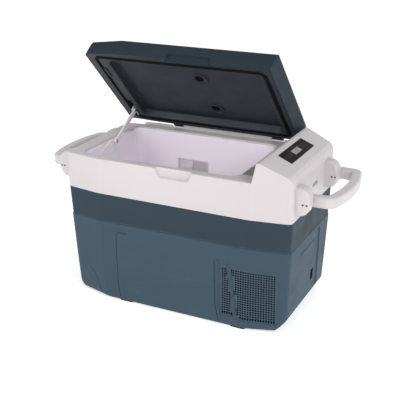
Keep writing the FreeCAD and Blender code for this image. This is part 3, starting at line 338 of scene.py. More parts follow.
def edge_wear(N, L, tc, col, c0, amount):
    ge = N.new("ShaderNodeNewGeometry")
    pr = N.new("ShaderNodeMapRange")
    pr.inputs[1].default_value, pr.inputs[2].default_value = 0.53, 0.60
    pr.inputs[3].default_value, pr.inputs[4].default_value = 0.0, amount
    L.new(ge.outputs["Pointiness"], pr.inputs[0])
    nz = N.new("ShaderNodeTexNoise")
    nz.inputs["Scale"].default_value = 65.0
    nz.inputs["Detail"].default_value = 6.0
    L.new(tc.outputs["Object"], nz.inputs["Vector"])
    nr = N.new("ShaderNodeMapRange")
    nr.inputs[1].default_value, nr.inputs[2].default_value = 0.42, 0.62
    nr.inputs[3].default_value, nr.inputs[4].default_value = 0.15, 1.0
    L.new(nz.outputs["Fac"], nr.inputs[0])
    ml = N.new("ShaderNodeMath")
    ml.operation = "MULTIPLY"
    L.new(pr.outputs[0], ml.inputs[0])
    L.new(nr.outputs[0], ml.inputs[1])
    lum = 0.3 * c0[0] + 0.6 * c0[1] + 0.1 * c0[2]
    if lum > 0.4:
        wc = tuple(c * 0.80 for c in c0[:3]) + (1,)
    else:
        wc = tuple(min(1, c * 1.7 + 0.02) for c in c0[:3]) + (1,)
    mx = N.new("ShaderNodeMix")
    mx.data_type = "RGBA"
    mx.inputs[7].default_value = wc
    L.new(ml.outputs[0], mx.inputs[0])
    L.new(col, mx.inputs[6])
    return mx.outputs[2]


def plastic(name, rgb, rough=0.45, grain=1400.0, bump=0.12, var=0.06, rvar=0.06, spec=0.5, coat=0.0, coat_rough=0.2, stain=None, big=6.0, depth=0.00012, tint=None, wear=0.35, painted_shade_band=None):
    """Moulded plastic: fine spark-eroded grain, slow colour drift, a little
    roughness drift and faint scuffs; optionally painted shade that darkens the part above a given height."""
    m, nt, b = new_mat(name)
    N, L = nt.nodes, nt.links
    tc = N.new("ShaderNodeTexCoord")
    c0 = lin(rgb)
    n1 = N.new("ShaderNodeTexNoise")
    n1.inputs["Scale"].default_value = big
    n1.inputs["Detail"].default_value = 4.0
    L.new(tc.outputs["Object"], n1.inputs["Vector"])
    mix = N.new("ShaderNodeMix")
    mix.data_type = "RGBA"
    t = tint or (1, 1, 1)
    mix.inputs[6].default_value = tuple(c0[i] * (1 - var) * t[i] for i in range(3)) + (1,)
    mix.inputs[7].default_value = tuple(min(1, c0[i] * (1 + var)) for i in range(3)) + (1,)
    L.new(n1.outputs["Fac"], mix.inputs[0])
    # fine speckle, a few percent, so that the surface isn't one tone close up
    n2 = N.new("ShaderNodeTexNoise")
    n2.inputs["Scale"].default_value = grain * 0.5
    n2.inputs["Detail"].default_value = 2.0
    L.new(tc.outputs["Object"], n2.inputs["Vector"])
    mr = N.new("ShaderNodeMapRange")
    mr.inputs[1].default_value, mr.inputs[2].default_value = 0.3, 0.7
    mr.inputs[3].default_value, mr.inputs[4].default_value = 1 - var * 0.5, 1 + var * 0.5
    L.new(n2.outputs["Fac"], mr.inputs[0])
    mul = N.new("ShaderNodeMix")
    mul.data_type = "RGBA"
    mul.blend_type = "MULTIPLY"
    mul.inputs[0].default_value = 1.0
    L.new(mix.outputs[2], mul.inputs[6])
    L.new(mr.outputs[0], mul.inputs[7])
    col = mul.outputs[2]
    # scuffs: sparse stretched marks, lighter
    mp = N.new("ShaderNodeMapping")
    mp.inputs["Scale"].default_value = (9, 9, 140)
    mp.inputs["Rotation"].default_value = (0.3, 0.5, 0.2)
    L.new(tc.outputs["Object"], mp.inputs["Vector"])
    n3 = N.new("ShaderNodeTexNoise")
    n3.inputs["Scale"].default_value = 2.2
    n3.inputs["Detail"].default_value = 6.0
    L.new(mp.outputs[0], n3.inputs["Vector"])
    sc = N.new("ShaderNodeMapRange")
    sc.inputs[1].default_value, sc.inputs[2].default_value = 0.66, 0.80
    sc.inputs[3].default_value, sc.inputs[4].default_value = 0.0, 0.22
    L.new(n3.outputs["Fac"], sc.inputs[0])
    mx = N.new("ShaderNodeMix")
    mx.data_type = "RGBA"
    mx.inputs[7].default_value = tuple(min(1, c * 1.35 + 0.01) for c in c0[:3]) + (1,)
    L.new(sc.outputs[0], mx.inputs[0])
    L.new(col, mx.inputs[6])
    # painted shade: above the height ramp in the tuple's first two values (mm, object z) the colour is multiplied down
    # to its third value, standing in for the shade on the upper part of the base
    top = mx.outputs[2]
    if painted_shade_band:
        sx_ = N.new("ShaderNodeSeparateXYZ")
        L.new(tc.outputs["Object"], sx_.inputs[0])
        br_ = N.new("ShaderNodeMapRange")
        br_.inputs[1].default_value, br_.inputs[2].default_value = painted_shade_band[0] / 1000.0, painted_shade_band[1] / 1000.0
        br_.inputs[3].default_value, br_.inputs[4].default_value = 1.0, painted_shade_band[2]
        L.new(sx_.outputs[2], br_.inputs[0])
        bm_ = N.new("ShaderNodeMix")
        bm_.data_type = "RGBA"
        bm_.blend_type = "MULTIPLY"
        bm_.inputs[0].default_value = 1.0
        L.new(top, bm_.inputs[6])
        L.new(br_.outputs[0], bm_.inputs[7])
        top = bm_.outputs[2]
    # edge wear: convex edges rubbed lighter (darker and a bit dirty on white), broken up by noise
    top = edge_wear(N, L, tc, top, c0, wear)
    L.new(top, b.inputs["Base Color"])
    rr = N.new("ShaderNodeMapRange")
    rr.inputs[1].default_value, rr.inputs[2].default_value = 0.3, 0.7
    rr.inputs[3].default_value, rr.inputs[4].default_value = rough - rvar, rough + rvar
    n4 = N.new("ShaderNodeTexNoise")
    n4.inputs["Scale"].default_value = 22.0
    n4.inputs["Detail"].default_value = 5.0
    L.new(tc.outputs["Object"], n4.inputs["Vector"])
    L.new(n4.outputs["Fac"], rr.inputs[0])
    L.new(rr.outputs[0], b.inputs["Roughness"])
    b.inputs["Specular IOR Level"].default_value = spec
    b.inputs["Coat Weight"].default_value = coat
    b.inputs["Coat Roughness"].default_value = coat_rough
    vo = N.new("ShaderNodeTexVoronoi")
    vo.feature = "SMOOTH_F1"
    vo.inputs["Scale"].default_value = grain
    L.new(tc.outputs["Object"], vo.inputs["Vector"])
    add = N.new("ShaderNodeMath")
    add.operation = "ADD"
    L.new(vo.outputs["Distance"], add.inputs[0])
    L.new(n2.outputs["Fac"], add.inputs[1])
    bp = N.new("ShaderNodeBump")
    bp.inputs["Strength"].default_value = bump
    bp.inputs["Distance"].default_value = depth
    L.new(add.outputs[0], bp.inputs["Height"])
    L.new(bp.outputs[0], b.inputs["Normal"])
    return m


def metal(name, rgb, rough=0.3, brush=(400, 8, 8), bump=0.08, metallic=1.0, var=0.05, wear=0.4):
    m, nt, b = new_mat(name)
    N, L = nt.nodes, nt.links
    tc = N.new("ShaderNodeTexCoord")
    mp = N.new("ShaderNodeMapping")
    mp.inputs["Scale"].default_value = brush
    L.new(tc.outputs["Object"], mp.inputs["Vector"])
    n = N.new("ShaderNodeTexNoise")
    n.inputs["Scale"].default_value = 3.0
    n.inputs["Detail"].default_value = 6.0
    L.new(mp.outputs[0], n.inputs["Vector"])
    c0 = lin(rgb)
    mix = N.new("ShaderNodeMix")
    mix.data_type = "RGBA"
    mix.inputs[6].default_value = tuple(c * (1 - var) for c in c0[:3]) + (1,)
    mix.inputs[7].default_value = tuple(min(1, c * (1 + var)) for c in c0[:3]) + (1,)
    L.new(n.outputs["Fac"], mix.inputs[0])
    L.new(edge_wear(N, L, tc, mix.outputs[2], c0, wear), b.inputs["Base Color"])
    rr = N.new("ShaderNodeMapRange")
    rr.inputs[1].default_value, rr.inputs[2].default_value = 0.3, 0.7
    rr.inputs[3].default_value, rr.inputs[4].default_value = rough - 0.07, rough + 0.09
    L.new(n.outputs["Fac"], rr.inputs[0])
    L.new(rr.outputs[0], b.inputs["Roughness"])
    b.inputs["Metallic"].default_value = metallic
    bp = N.new("ShaderNodeBump")
    bp.inputs["Strength"].default_value = bump
    bp.inputs["Distance"].default_value = 0.0001
    L.new(n.outputs["Fac"], bp.inputs["Height"])
    L.new(bp.outputs[0], b.inputs["Normal"])
    return m


# the slate's darkening above 250-255 mm is painted shade on the upper part of the base
M_SLATE = plastic("slate_moulding", (58, 76, 89), rough=0.54, grain=1100, bump=0.16, var=0.045, spec=0.17, painted_shade_band=(250, 255, 0.58))
# painted shade: the lid's slate is a darker copy of the base's slate, standing in for the shade on the lid's faces
# that turn downwards when it stands open
M_LID_SHADED = plastic("slate_lid_painted_shade", (40, 49, 57), rough=0.56, grain=1100, bump=0.14, var=0.028, spec=0.10)
M_LINER = plastic("slate_lid_liner", (36, 45, 51), rough=0.44, grain=1500, bump=0.08, var=0.06, spec=0.30)
M_WHITE = plastic("white_moulding", (201, 195, 197), rough=0.42, grain=1300, bump=0.10, var=0.018, spec=0.40)
M_HANDLE = plastic("white_handle", (200, 195, 197), rough=0.36, grain=1300, bump=0.08, var=0.02, spec=0.45)
# painted light: the lining is a whiter white than the collar, standing in for the light that falls into the cabin; its
# faint lilac tint is its own
M_TUB_LIT = plastic("tub_lining_painted_light", (246, 238, 247), rough=0.34, grain=1700, bump=0.05, var=0.02, spec=0.45)
# painted light: the stay bracket is a brighter white than the collar, lifting it out of the shade it sits in by the
# cabin wall
M_BRACKET_LIT = plastic("bracket_white_painted_light", (240, 234, 238), rough=0.36, grain=1300, bump=0.06, var=0.02, spec=0.45)
M_GRILLE = plastic("grille_moulding", (58, 76, 89), rough=0.55, grain=1100, bump=0.06, var=0.05, spec=0.25, wear=0.0)
M_RUBBER = plastic("seal_rubber", (5, 8, 11), rough=0.7, grain=1800, bump=0.12, var=0.15, spec=0.10)
M_BLACK = plastic("black_moulding", (26, 25, 27), rough=0.48, grain=1500, bump=0.1, var=0.1, spec=0.35)
M_PANEL = plastic("panel_film", (22, 18, 20), rough=0.5, grain=2200, bump=0.04, var=0.08, spec=0.10)
M_BUTTON = plastic("button_film", (30, 26, 29), rough=0.5, grain=2000, bump=0.06, var=0.08, spec=0.14)
M_LCD = plastic("display_window", (140, 137, 139), rough=0.3, grain=2500, bump=0.01, var=0.03, coat=0.12, coat_rough=0.15)
M_INK = plastic("display_figures", (62, 64, 68), rough=0.5, grain=2500, bump=0.01, var=0.03)
M_PRINT = plastic("panel_print", (86, 82, 85), rough=0.5, grain=2500, bump=0.01, var=0.03)
# the switch cover's mid grey is partly painted shade, standing in for the shade at the foot of the console
M_SHADE = plastic("switch_cover", (140, 136, 134), rough=0.5, grain=1500, bump=0.12, var=0.05)
M_GREY = plastic("grey_insert", (212, 205, 210), rough=0.45, grain=1600, bump=0.06, var=0.04)
M_PORT = plastic("port_cover_grey", (150, 145, 147), rough=0.48, grain=1600, bump=0.06, var=0.05)
M_LENS = plastic("lamp_window", (190, 183, 190), rough=0.2, grain=2500, bump=0.02, var=0.03, coat=0.3, coat_rough=0.08)
M_STAY = metal("stay_metal", (232, 227, 230), rough=0.42, brush=(8, 300, 8), metallic=0.08)
M_STEEL = metal("pin_steel", (170, 170, 172), rough=0.28)
M_SCREW = metal("screw_dark", (58, 54, 55), rough=0.45, metallic=0.8)
M_ALU = metal("sheet_aluminium", (200, 201, 203), rough=0.35, brush=(8, 8, 300))
M_COPPER = metal("tube_copper", (190, 112, 80), rough=0.3)
M_BRASS = metal("contact_brass", (58, 50, 38), rough=0.5, metallic=0.7)
M_COMP = plastic("compressor_paint", (24, 24, 26), rough=0.35, grain=900, bump=0.1, var=0.1, coat=0.2)
M_PLATE = metal("plate_steel", (150, 152, 155), rough=0.42)
M_FOAM = plastic("foam_core", (120, 110, 84), rough=0.85, grain=500, bump=0.5, var=0.08, spec=0.2, depth=0.0004)
M_PCB = plastic("board_green", (24, 78, 44), rough=0.35, grain=1800, bump=0.05, var=0.12)
M_INLET = plastic("inlet_black", (16, 15, 16), rough=0.4, grain=1500, bump=0.1, var=0.1)


# ------------------------------------------------------------------ outlines
def plan(a, b, bc, af, c, seg=10, rf=70):
    """Faceted plan of the cabinet: long sides break at +-af, corners are round."""
    s = (b - bc) / ((a - c) - af)
    yc = bc - s * c
    pts = [(-af, -b), (af, -b), (a, -yc), (a, yc), (af, b), (-af, b), (-a, yc), (-a, -yc)]
    rr = [rf, rf, c, c, rf, rf, c, c]
    sg = [6, 6, seg, seg, 6, 6, seg, seg]
    return fillet(pts, rr, sg)


def plan_d(d, c=14.0):
    return plan(A - d, B - d, BC - d, AF, max(c - d * 0.6, 4))


# ------------------------------------------------------------------ base shell
BS = [(3, -26.4, -11.2, -22.4, 22), (3.7, -24.2, -9.6, -20.4, 21), (5.4, -20.4, -8.0, -16.6, 20), (8, -17.4, -7.1, -13.4, 20), (14, -14.6, -6.6, -11.2, 20), (20, -12.6, -6.2, -10, 20), (26, -11, -6, -9, 20),
      (33, -10.6, -5.9, -8.8, 20), (38, -10.2, -5.86, -8.6, 20), (44, -9.9, -5.8, -8.4, 20), (120, -6.6, -5.2, -5.2, 19.2), (200, -3.6, -4.5, -2.4, 18.4), (246.6, -1.9, -4.03, -0.9, 18), (248.2, -2.1, -4.4, -1.1, 18), (249.3, -2.7, -5.6, -1.7, 17.6), (249.9, -3.6, -7.2, -2.8, 17),
      (251.5, -3.8, -7.5, -2.9, 16.6), (254, -3.6, -7.3, -2.8, 16.4), (290, -2.3, -4.9, -1.8, 15.2), (330, -0.9, -2.0, -0.7, 14.2), (334.8, -0.7, -1.7, -0.6, 14), (336, -1.6, -2.6, -1.5, 13.4)]


def base_at(z):
    zs = [s[0] for s in BS]
    return [float(np.interp(z, zs, [s[k] for s in BS])) for k in (1, 2, 3, 4)]


def kick(z):
    """Right-hand limit of the base where its lower end slants up to the wall."""
    return 303.0 + (z - 3.0) * 0.9092 if z < 47 else 1e6


def base_ring(z, d=0.0):
    a, b, bc, c = base_at(z)
    a, b, bc = A + a - d, B + b - d, BC + bc - d
    o = plan(a, b, bc, AF * a / A, max(c - 0.6 * d, 4))
    o[:, 0] = np.minimum(o[:, 0], kick(z) - 1.35 * d)
    return rz(o, z)


def front_y(x, z, d=0.0):
    """y of the base's front wall at x, z."""
    a, b, bc, c = base_at(z)
    a, b, bc = A + a, B + b, BC + bc
    af = AF * a / A
    s = (b - bc) / ((a - c) - af)
    return -(b - max(0.0, abs(x) - af) * s) + d


def side_x(z):
    return A + base_at(z)[0]


rings = [base_ring(s[0]) for s in BS]
rings += [rz(base_ring(335, 4.0)[:, :2], 336.0), base_ring(300, 4.0), base_ring(254, 4.0), base_ring(246, 4.0), base_ring(120, 4.0), base_ring(50, 4.0), base_ring(46, 4.0), base_ring(40, 4.0), base_ring(26, 4.0), base_ring(14, 4.0), base_ring(9, 4.0)]
base = loft("base_shell_body", rings)
# raised ribs beside and between the vents
RIB_A = [(141.0, 200), (141.5, 120), (142.2, 60), (149, 20)]
RIB_B = [(174.5, 194), (179, 150), (192.5, 46), (198.5, 16)]
for nm, path, w in (("rib_a", RIB_A, 4.4), ("rib_b", RIB_B, 3.9)):
    pts = []
    for (x0, z0), (x1, z1) in zip(path[:-1], path[1:]):
        for k in range(6):
            x, z = x0 + (x1 - x0) * k / 6, z0 + (z1 - z0) * k / 6
            pts.append((x, front_y(x, z) + 1.2, z))
    pts.append((path[-1][0], front_y(*path[-1]) + 1.2, path[-1][1]))
    boolean(base, tube(nm, smooth_path(pts, 8, 2), 1, 14, (w, 3.2), (0, -1, 0)), "UNION")
WIN_L = [(148, 34), (190.5, 34), (179, 148), (172, 150), (169, 190), (147, 190)]
WIN_R = [(201.5, 27), (317, 27), (317, 187), (182, 187)]


def prism(name, outline, y0, y1):
    return loft(name, [ry(outline, y0), ry(outline, y1)])


cut = [prism("w1", fillet(WIN_L, 2.2, 3), -200, -160), prism("w2", fillet(WIN_R, 3.0, 4), -200, -150)]
boolean(base, join("cut", cut))


def wall_groove(path, r, seg=10, lift=0.0, rad=10):
    pts = []
    for (x0, z0), (x1, z1) in zip(path[:-1], path[1:]):
        n = max(1, int(math.hypot(x1 - x0, z1 - z0) / 12))
        for k in range(n):
            x, z = x0 + (x1 - x0) * k / n, z0 + (z1 - z0) * k / n
            pts.append((x, front_y(x, z) - lift, z))
    pts.append((path[-1][0], front_y(*path[-1]) - lift, path[-1][1]))
    return tube("g", pts, r, seg, None, (0, -1, 0))


def arc2(cx, cz, r, a0, a1, n=7):
    return [(cx + r * math.cos(math.radians(a0 + (a1 - a0) * k / n)), cz + r * math.sin(math.radians(a0 + (a1 - a0) * k / n))) for k in range(n + 1)]


gr = []
gr.append(wall_groove([(-146, 223), (-168, 223)] + arc2(-168, 209, 14, 90, 180)[1:] + [(-182, 66), (-180.5, 52), (-176, 14)], 2.0))
gr.append(wall_groove([(-178, 66), (-104, 66.5)], 1.1, 8, 0.5))
gr.append(wall_groove([(-283, 85), (-271, 76), (-262, 64), (-256, 48), (-251, 34), (-243, 13)], 1.4, 8))
gr.append(wall_groove([(132.5, 196), (134.5, 66), (137, 52), (144, 13)], 1.9))
gr.append(wall_groove([(206, 40), (208, 16)], 1.3, 8))
for g in gr:
    boolean(base, g)
# channel and crease in the right end, and the seat of the power inlet
ch = []
for z, w in ((34, 0.0), (40, 1.0), (140, 1.0), (232, 1.0), (238, 0.0)):
    t = (z - 34) / 204.0
    y0, y1 = 68 - 14 * t, 98 - 12 * t
    ym = (y0 + y1) / 2
    k = 0.62 + 0.38 * w
    xx = side_x(z)
    ring = fillet([(y0 + (ym - y0) * (1 - k), xx + 6), (y1 - (y1 - ym) * (1 - k), xx + 6), (y1 - (y1 - ym) * (1 - k) - 4, xx - 2.8 * w - 0.1), (y0 + (ym - y0) * (1 - k) + 4, xx - 2.8 * w - 0.1)], 1.8, 4)
    ch.append(np.column_stack([ring[:, 1], ring[:, 0], np.full(len(ring), z)]))
boolean(base, loft("channel", ch))
cr = [(-78, 211), (-60, 213), (20, 213), (52, 213)]
pts = []
for (y0, z0), (y1, z1) in zip(cr[:-1], cr[1:]):
    for k in range(5):
        y, z = y0 + (y1 - y0) * k / 5, z0 + (z1 - z0) * k / 5
        pts.append((side_x(z), y, z))
pts.append((side_x(213), 52, 213))
boolean(base, tube("g", pts, 1.7, 10))
INY, INZ = 40.0, 100.0
boolean(base, loft("inl", [rx(rrect(INY - 12.2, INY + 12.2, INZ - 18.2, INZ + 18.2, 2.4, 4), 322), rx(rrect(INY - 12.2, INY + 12.2, INZ - 18.2, INZ + 18.2, 2.4, 4), 358)]))
tidy(base)
done(base, "cabinet", M_SLATE, ["base_shell"], angle=30)


# ------------------------------------------------------------------ vent grilles
def dot_grille(name, outline, xa, xb, za, zb, px, pz, hole, replaced, tall_row=True):
    """Perforated panel following the front wall: a grid of small round-cornered
    holes with real depth; the bottom row is tall slots. outline(z) gives the
    left and right edge at height z."""
    d0, d1 = 1.2, 3.6
    nx = int(round((xb - xa) / px))
    zs = [za, za + 3.0, za + 3.0 + 11.0]
    while zs[-1] + pz < zb - 2.0:
        zs.append(zs[-1] + pz)
    zs.append(zb)
    xs = [xa + (xb - xa) * i / nx for i in range(nx + 1)]
    V, F, idx = [], [], {}

    def vid(x, z, d):
        key = (round(x, 3), round(z, 3), round(d, 2))
        if key not in idx:
            idx[key] = len(V)
            V.append((x, front_y(x, z, d), z))
        return idx[key]

    def clampx(x, z):
        l, r = outline(z)
        return min(max(x, l), r)
    for j in range(len(zs) - 1):
        z0, z1 = zs[j], zs[j + 1]
        zm = (z0 + z1) / 2
        for i in range(nx):
            x0, x1 = xs[i], xs[i + 1]
            xm = (x0 + x1) / 2
            l, r = outline(zm)
            if xm < l - 0.3 or xm > r + 0.3:
                continue
            lo_, hi_ = max(outline(z0)[0], outline(z1)[0]), min(outline(z0)[1], outline(z1)[1])
            ok = (x0 > lo_ + 0.8) and (x1 < hi_ - 0.3) and (1 <= j < len(zs) - 2)
            c = [(clampx(x0, z0), z0), (clampx(xm, z0), z0), (clampx(x1, z0), z0), (clampx(x1, zm), zm), (clampx(x1, z1), z1), (clampx(xm, z1), z1), (clampx(x0, z1), z1), (clampx(x0, zm), zm)]
            if not ok:
                for d, flip in ((d0, False), (d1, True)):
                    f = [vid(x, z, d) for x, z in c]
                    g = []
                    for q in f:
                        if not g or q != g[-1]:
                            g.append(q)
                    if g[0] == g[-1]:
                        g.pop()
                    if len(set(g)) >= 3:
                        F.append(tuple(g[::-1] if flip else g))
                continue
            hw, hh = hole / 2, (hole / 2 if j > 1 else (z1 - z0) / 2 - 1.2)
            k = 0.52
            h = [(xm - hw * k, zm - hh), (xm + hw * k, zm - hh), (xm + hw, zm - hh + hw * (1 - k)), (xm + hw, zm + hh - hw * (1 - k)), (xm + hw * k, zm + hh), (xm - hw * k, zm + hh), (xm - hw, zm + hh - hw * (1 - k)), (xm - hw, zm - hh + hw * (1 - k))]
            # pairs of outer points round the hole
            pair = [(0, 1, 0), (1, 2, 1), (2, 3, 2), (3, 4, 3), (4, 5, 4), (5, 6, 5), (6, 7, 6), (7, 0, 7)]
            for d, flip in ((d0, False), (d1, True)):
                o = [vid(x, z, d) for x, z in c]
                q = [vid(x, z, d) for x, z in h]
                fs = [(o[1], o[2], q[1]), (o[2], q[2], q[1]), (o[2], o[3], q[2]), (o[3], q[3], q[2]), (o[3], o[4], q[3]), (o[4], q[4], q[3]), (o[4], o[5], q[4]), (o[5], q[5], q[4]),
                      (o[5], o[6], q[5]), (o[6], q[6], q[5]), (o[6], o[7], q[6]), (o[7], q[7], q[6]), (o[7], o[0], q[7]), (o[0], q[0], q[7]), (o[0], o[1], q[0]), (o[1], q[1], q[0])]
                for f in fs:
                    F.append(f[::-1] if flip else f)
            for a_ in range(8):
                b_ = (a_ + 1) % 8
                F.append((vid(*h[a_], d0), vid(*h[b_], d0), vid(*h[b_], d1), vid(*h[a_], d1)))
    # outer edge: join open borders front to back
    cnt = {}
    front = [f for f in F if all(abs(V[q][1] - front_y(V[q][0], V[q][2], d0)) < 1e-6 for q in f)]
    for f in front:
        for a_, b_ in zip(f, f[1:] + f[:1]):
            cnt[(min(a_, b_), max(a_, b_))] = cnt.get((min(a_, b_), max(a_, b_)), 0) + 1
    hole_e = set()
    for f in F:
        if len(f) == 4:
            e = (min(f[0], f[1]), max(f[0], f[1]))
            hole_e.add(e)
    for (a_, b_), n_ in list(cnt.items()):
        if n_ == 1 and (a_, b_) not in hole_e:
            xa_, _, za_ = V[a_]
            xb_, _, zb_ = V[b_]
            F.append((a_, b_, vid(xb_, zb_, d1), vid(xa_, za_, d1)))
    ob = mesh_obj(name, V, F)
    return done(ob, "cabinet", M_GRILLE, [replaced], angle=30, weighted=False)


def out_r(z):
    t = (z - 27) / 160.0
    return 201.5 - 19.5 * t, 317.0


def out_l(z):
    if z >= 150:
        return 147.5, 172 - 3 * (z - 150) / 40.0
    if z >= 148:
        return 147.5, 179 - 7 * (z - 148) / 2.0
    return 147.5, 190.5 - 11.5 * (z - 34) / 114.0


dot_grille("vent_grille_right_panel", out_r, 179.0, 317.0, 27.0, 187.0, 7.3, 7.0, 5.0, "vent_grille_right")
dot_grille("vent_grille_left_panel", out_l, 147.5, 195.5, 34.0, 190.0, 7.3, 7.0, 5.0, "vent_grille_left")

# ------------------------------------------------------------------ collar
rings = [rz(plan_d(0.8), SEAM)]
rings += [rz(plan_d(0.0), SEAM + 1.0)]
for k in range(1, 8):
    t = math.radians(90 * k / 7)
    rings.append(rz(plan_d(4.0 * (1 - math.cos(t))), RIM - 4 + 4 * math.sin(t)))
rings.insert(2, rz(plan_d(0.0), RIM - 4))
collar = loft("upper_collar_body", rings)
# console block: rounded profile extruded across, trimmed by the plan, edges rolled
CFX, CLX, CRX, CRZ = 239.0, 251.0, 327.0, 466.0
prof = fillet([(CFX - 1.6, RIM - 8), (CLX, TOP), (CLX + 8, TOP - 0.2), (CRX + 7, CRZ - 2.9), (A - 2.2, CRZ - 15), (A + 0.0, RIM - 8)], [1, 4.5, 8, 11, 16, 1], [2, 6, 6, 8, 8, 2])
cons = loft("console", [ry(prof, -B - 6), ry(prof, B + 6)])
pin_ = loft("trim", [rz(plan_d(0.04), RIM - 20), rz(plan_d(0.04), TOP + 10)])
boolean(cons, pin_, "INTERSECT")
tidy(cons)
bevel(cons, 5.5, 5, 55)
boolean(collar, cons, "UNION")
BOSS_Y = [(-154.0, -118.0), (88.0, 124.0)]
HXA = 371.0
BZ, BH = 394.5, 40.0


def lobe(reach, half, cx, cz, sx, n=44):
    """Half of a squarish ellipse standing out from the end wall."""
    t = np.linspace(-math.pi / 2, math.pi / 2, n)
    c = np.abs(np.cos(t)) ** 0.72
    q = np.sign(np.sin(t)) * np.abs(np.sin(t)) ** 0.72
    pts = np.column_stack([cx + sx * reach * c, cz + half * q])
    return np.vstack([[(cx - sx * 7, cz - half)], pts, [(cx - sx * 7, cz + half)]])


for sx in (1, -1):
    for y0, y1 in BOSS_Y:
        rr = []
        r = 7.0
        for k in range(8):
            t = math.radians(90 * k / 7)
            rr.append(ry(lobe(38 - r + r * math.sin(t), BH - r + r * math.sin(t), sx * A, BZ, sx), y0 + r - r * math.cos(t)))
        r = 4.0
        for k in range(6):
            t = math.radians(90 - 90 * k / 5)
            rr.append(ry(lobe(38 - r + r * math.sin(t), BH - r + r * math.sin(t), sx * A, BZ, sx), y1 - r + r * math.cos(t)))
        boolean(collar, loft("boss", rr), "UNION")
# low ridge along the rear edge of the deck, each side of the hinge


def rear_y(x):
    s = (B - BC) / ((A - 14.0) - AF)
    return B - max(0.0, abs(x) - AF) * s


for xa, xb, zt in ((-285.0, -188.0, 447.0), (188.0, 237.0, 447.0), (-188.6, -150.4, 441.9), (150.4, 188.6, 441.9)):
    xs = [xa, xa + 0.5, xa + 1.2] + list(np.linspace(xa + 6, xb - 6, 9)) + [xb - 1.2, xb - 0.5, xb]
    rr = []
    for x in xs:
        e = min(x - xa, xb - x)
        t = 0.9 if e < 0.2 else (0.25 if e < 0.8 else 0.0)
        yb = rear_y(x)
        rr.append(rx(fillet([(yb - 4.7 + t, RIM - 3), (yb - 0.75 - t, RIM - 3), (yb - 0.75 - t, zt - t), (yb - 4.7 + t, zt - t)], [0.2, 0.2, 1.5, 1.5], [1, 1, 4, 4]), x))
    boolean(collar, loft("ridge", rr), "UNION")
# mouth with a rolled edge, and the hollow below the deck
rings = [rz(rrect(-304, 186, -158, 152, 34, 10), SEAM - 5), rz(rrect(-304, 186, -158, 152, 34, 10), RIM - 4)]
for k in range(1, 7):
    t = math.radians(90 * k / 6)
    o = 4 * (1 - math.cos(t))
    rings.append(rz(rrect(-304 - o, 186 + o, -158 - o, 152 + o, 34 + o, 10), RIM - 4 + 4 * math.sin(t)))
o = 4.0
rings.append(rz(rrect(-304 - o, 186 + o, -158 - o, 152 + o, 34 + o, 10), RIM + 12))
boolean(collar, loft("mouth", rings))
hollow = loft("hollow", [rz(plan_d(3.2), SEAM - 1), rz(plan_d(3.2), RIM - 3.2)])
keep = loft("keep", [rz(rrect(-307, 189, -161, 155, 37, 10), SEAM - 4), rz(rrect(-307, 189, -161, 155, 37, 10), RIM + 1)])
boolean(hollow, keep)
# solid backing behind the finger scoop
back = bbox_obj("back", -56, 73, -B + 1, -B + 15, 408, RIM)
boolean(hollow, back)
boolean(collar, hollow)
# finger scoop
SC = [(-52, RIM + 4), (69, RIM + 4), (54, 413.5), (-35, 413.5)]


def scoop(o):
    return fillet([(-52 - o, RIM + 8), (69 + o, RIM + 8), (54 + o, 413.5 - o), (-35 - o, 413.5 - o)], [2, 2, 9, 9], [2, 2, 6, 6])


boolean(collar, loft("scoop", [ry(scoop(3.4), -B - 3), ry(scoop(3.2), -B - 0.1), ry(scoop(1.2), -B + 0.9), ry(scoop(0.2), -B + 2.4), ry(scoop(-0.6), -B + 9), ry(scoop(-1.8), -B + 11), ry(scoop(-4.0), -B + 12)]))
SLOPE = math.atan2(TOP - CRZ, CRX - (CLX + 4))
PC = np.array([(CLX + 4 + CRX) / 2, 3.0, (TOP + CRZ) / 2])


def slope(u, v, w):
    return PC + np.array([u * math.cos(SLOPE) + w * math.sin(SLOPE), v, -u * math.sin(SLOPE) + w * math.cos(SLOPE)])


def slope_ring(o, w):
    return np.array([slope(p[0], p[1], w) for p in o])


boolean(collar, loft("seat", [slope_ring(rrect(-22.4, 22.4, -90.4, 90.4, 3.4, 5), -1.6), slope_ring(rrect(-22.4, 22.4, -90.4, 90.4, 3.4, 5), 6)]))
# port seat in the right end, screw seats in the bosses, the seat of the switch cover and a groove in front of the
# hinge rail
seats = [loft("port", [rx(rrect(7 - 23, 7 + 23, 393 - 6, 393 + 6, 5.9, 8), A - 2), rx(rrect(7 - 23, 7 + 23, 393 - 6, 393 + 6, 5.9, 8), A + 4)])]
for sx in (1, -1):
    for y0, y1 in BOSS_Y:
        for dx in (-2, 8):
            seats.append(disc("s", (sx * (HXA + dx), y0 - 1, 389), (0, 1, 0), [(0, 0), (3.0, 0), (3.0, 2.6), (0, 2.6)], 20))
seats.append(loft("sw", [rz(rrect(189.8, 233.0, -134.2, -65.8, 4.2, 5), RIM - 1.4), rz(rrect(189.8, 233.0, -134.2, -65.8, 4.2, 5), RIM + 1)]))
seats.append(bbox_obj("rg", -150, 150, HINGE_Y - 9.4, HINGE_Y - 7.2, RIM - 1.8, RIM + 1))
# pockets the buttons sink into
_n = slope(0, 0, 1) - slope(0, 0, 0)
for v in (-62.0, -42.0, 42.0, 62.0):
    seats.append(disc("bp", slope(0, v, -3.4), _n, [(0, 0), (6.2, 0), (6.2, 2.4), (0, 2.4)], 32))
boolean(collar, join("seats", seats))
tidy(collar)
done(collar, "cabinet", M_WHITE, ["upper_collar"], angle=34)

# ------------------------------------------------------------------ tub lining
lx0, lx1, ly0, ly1, HUX, HUZ, LIPZ, FLZ = -300.0, 182.0, -154.0, 148.0, 118.0, 235.0, 404.0, 62.0


def tub(o, x1, z, c=32.0):
    return rz(rrect(lx0 + o, x1 - o, ly0 + o, ly1 - o, max(c - o, 3), 10), z)


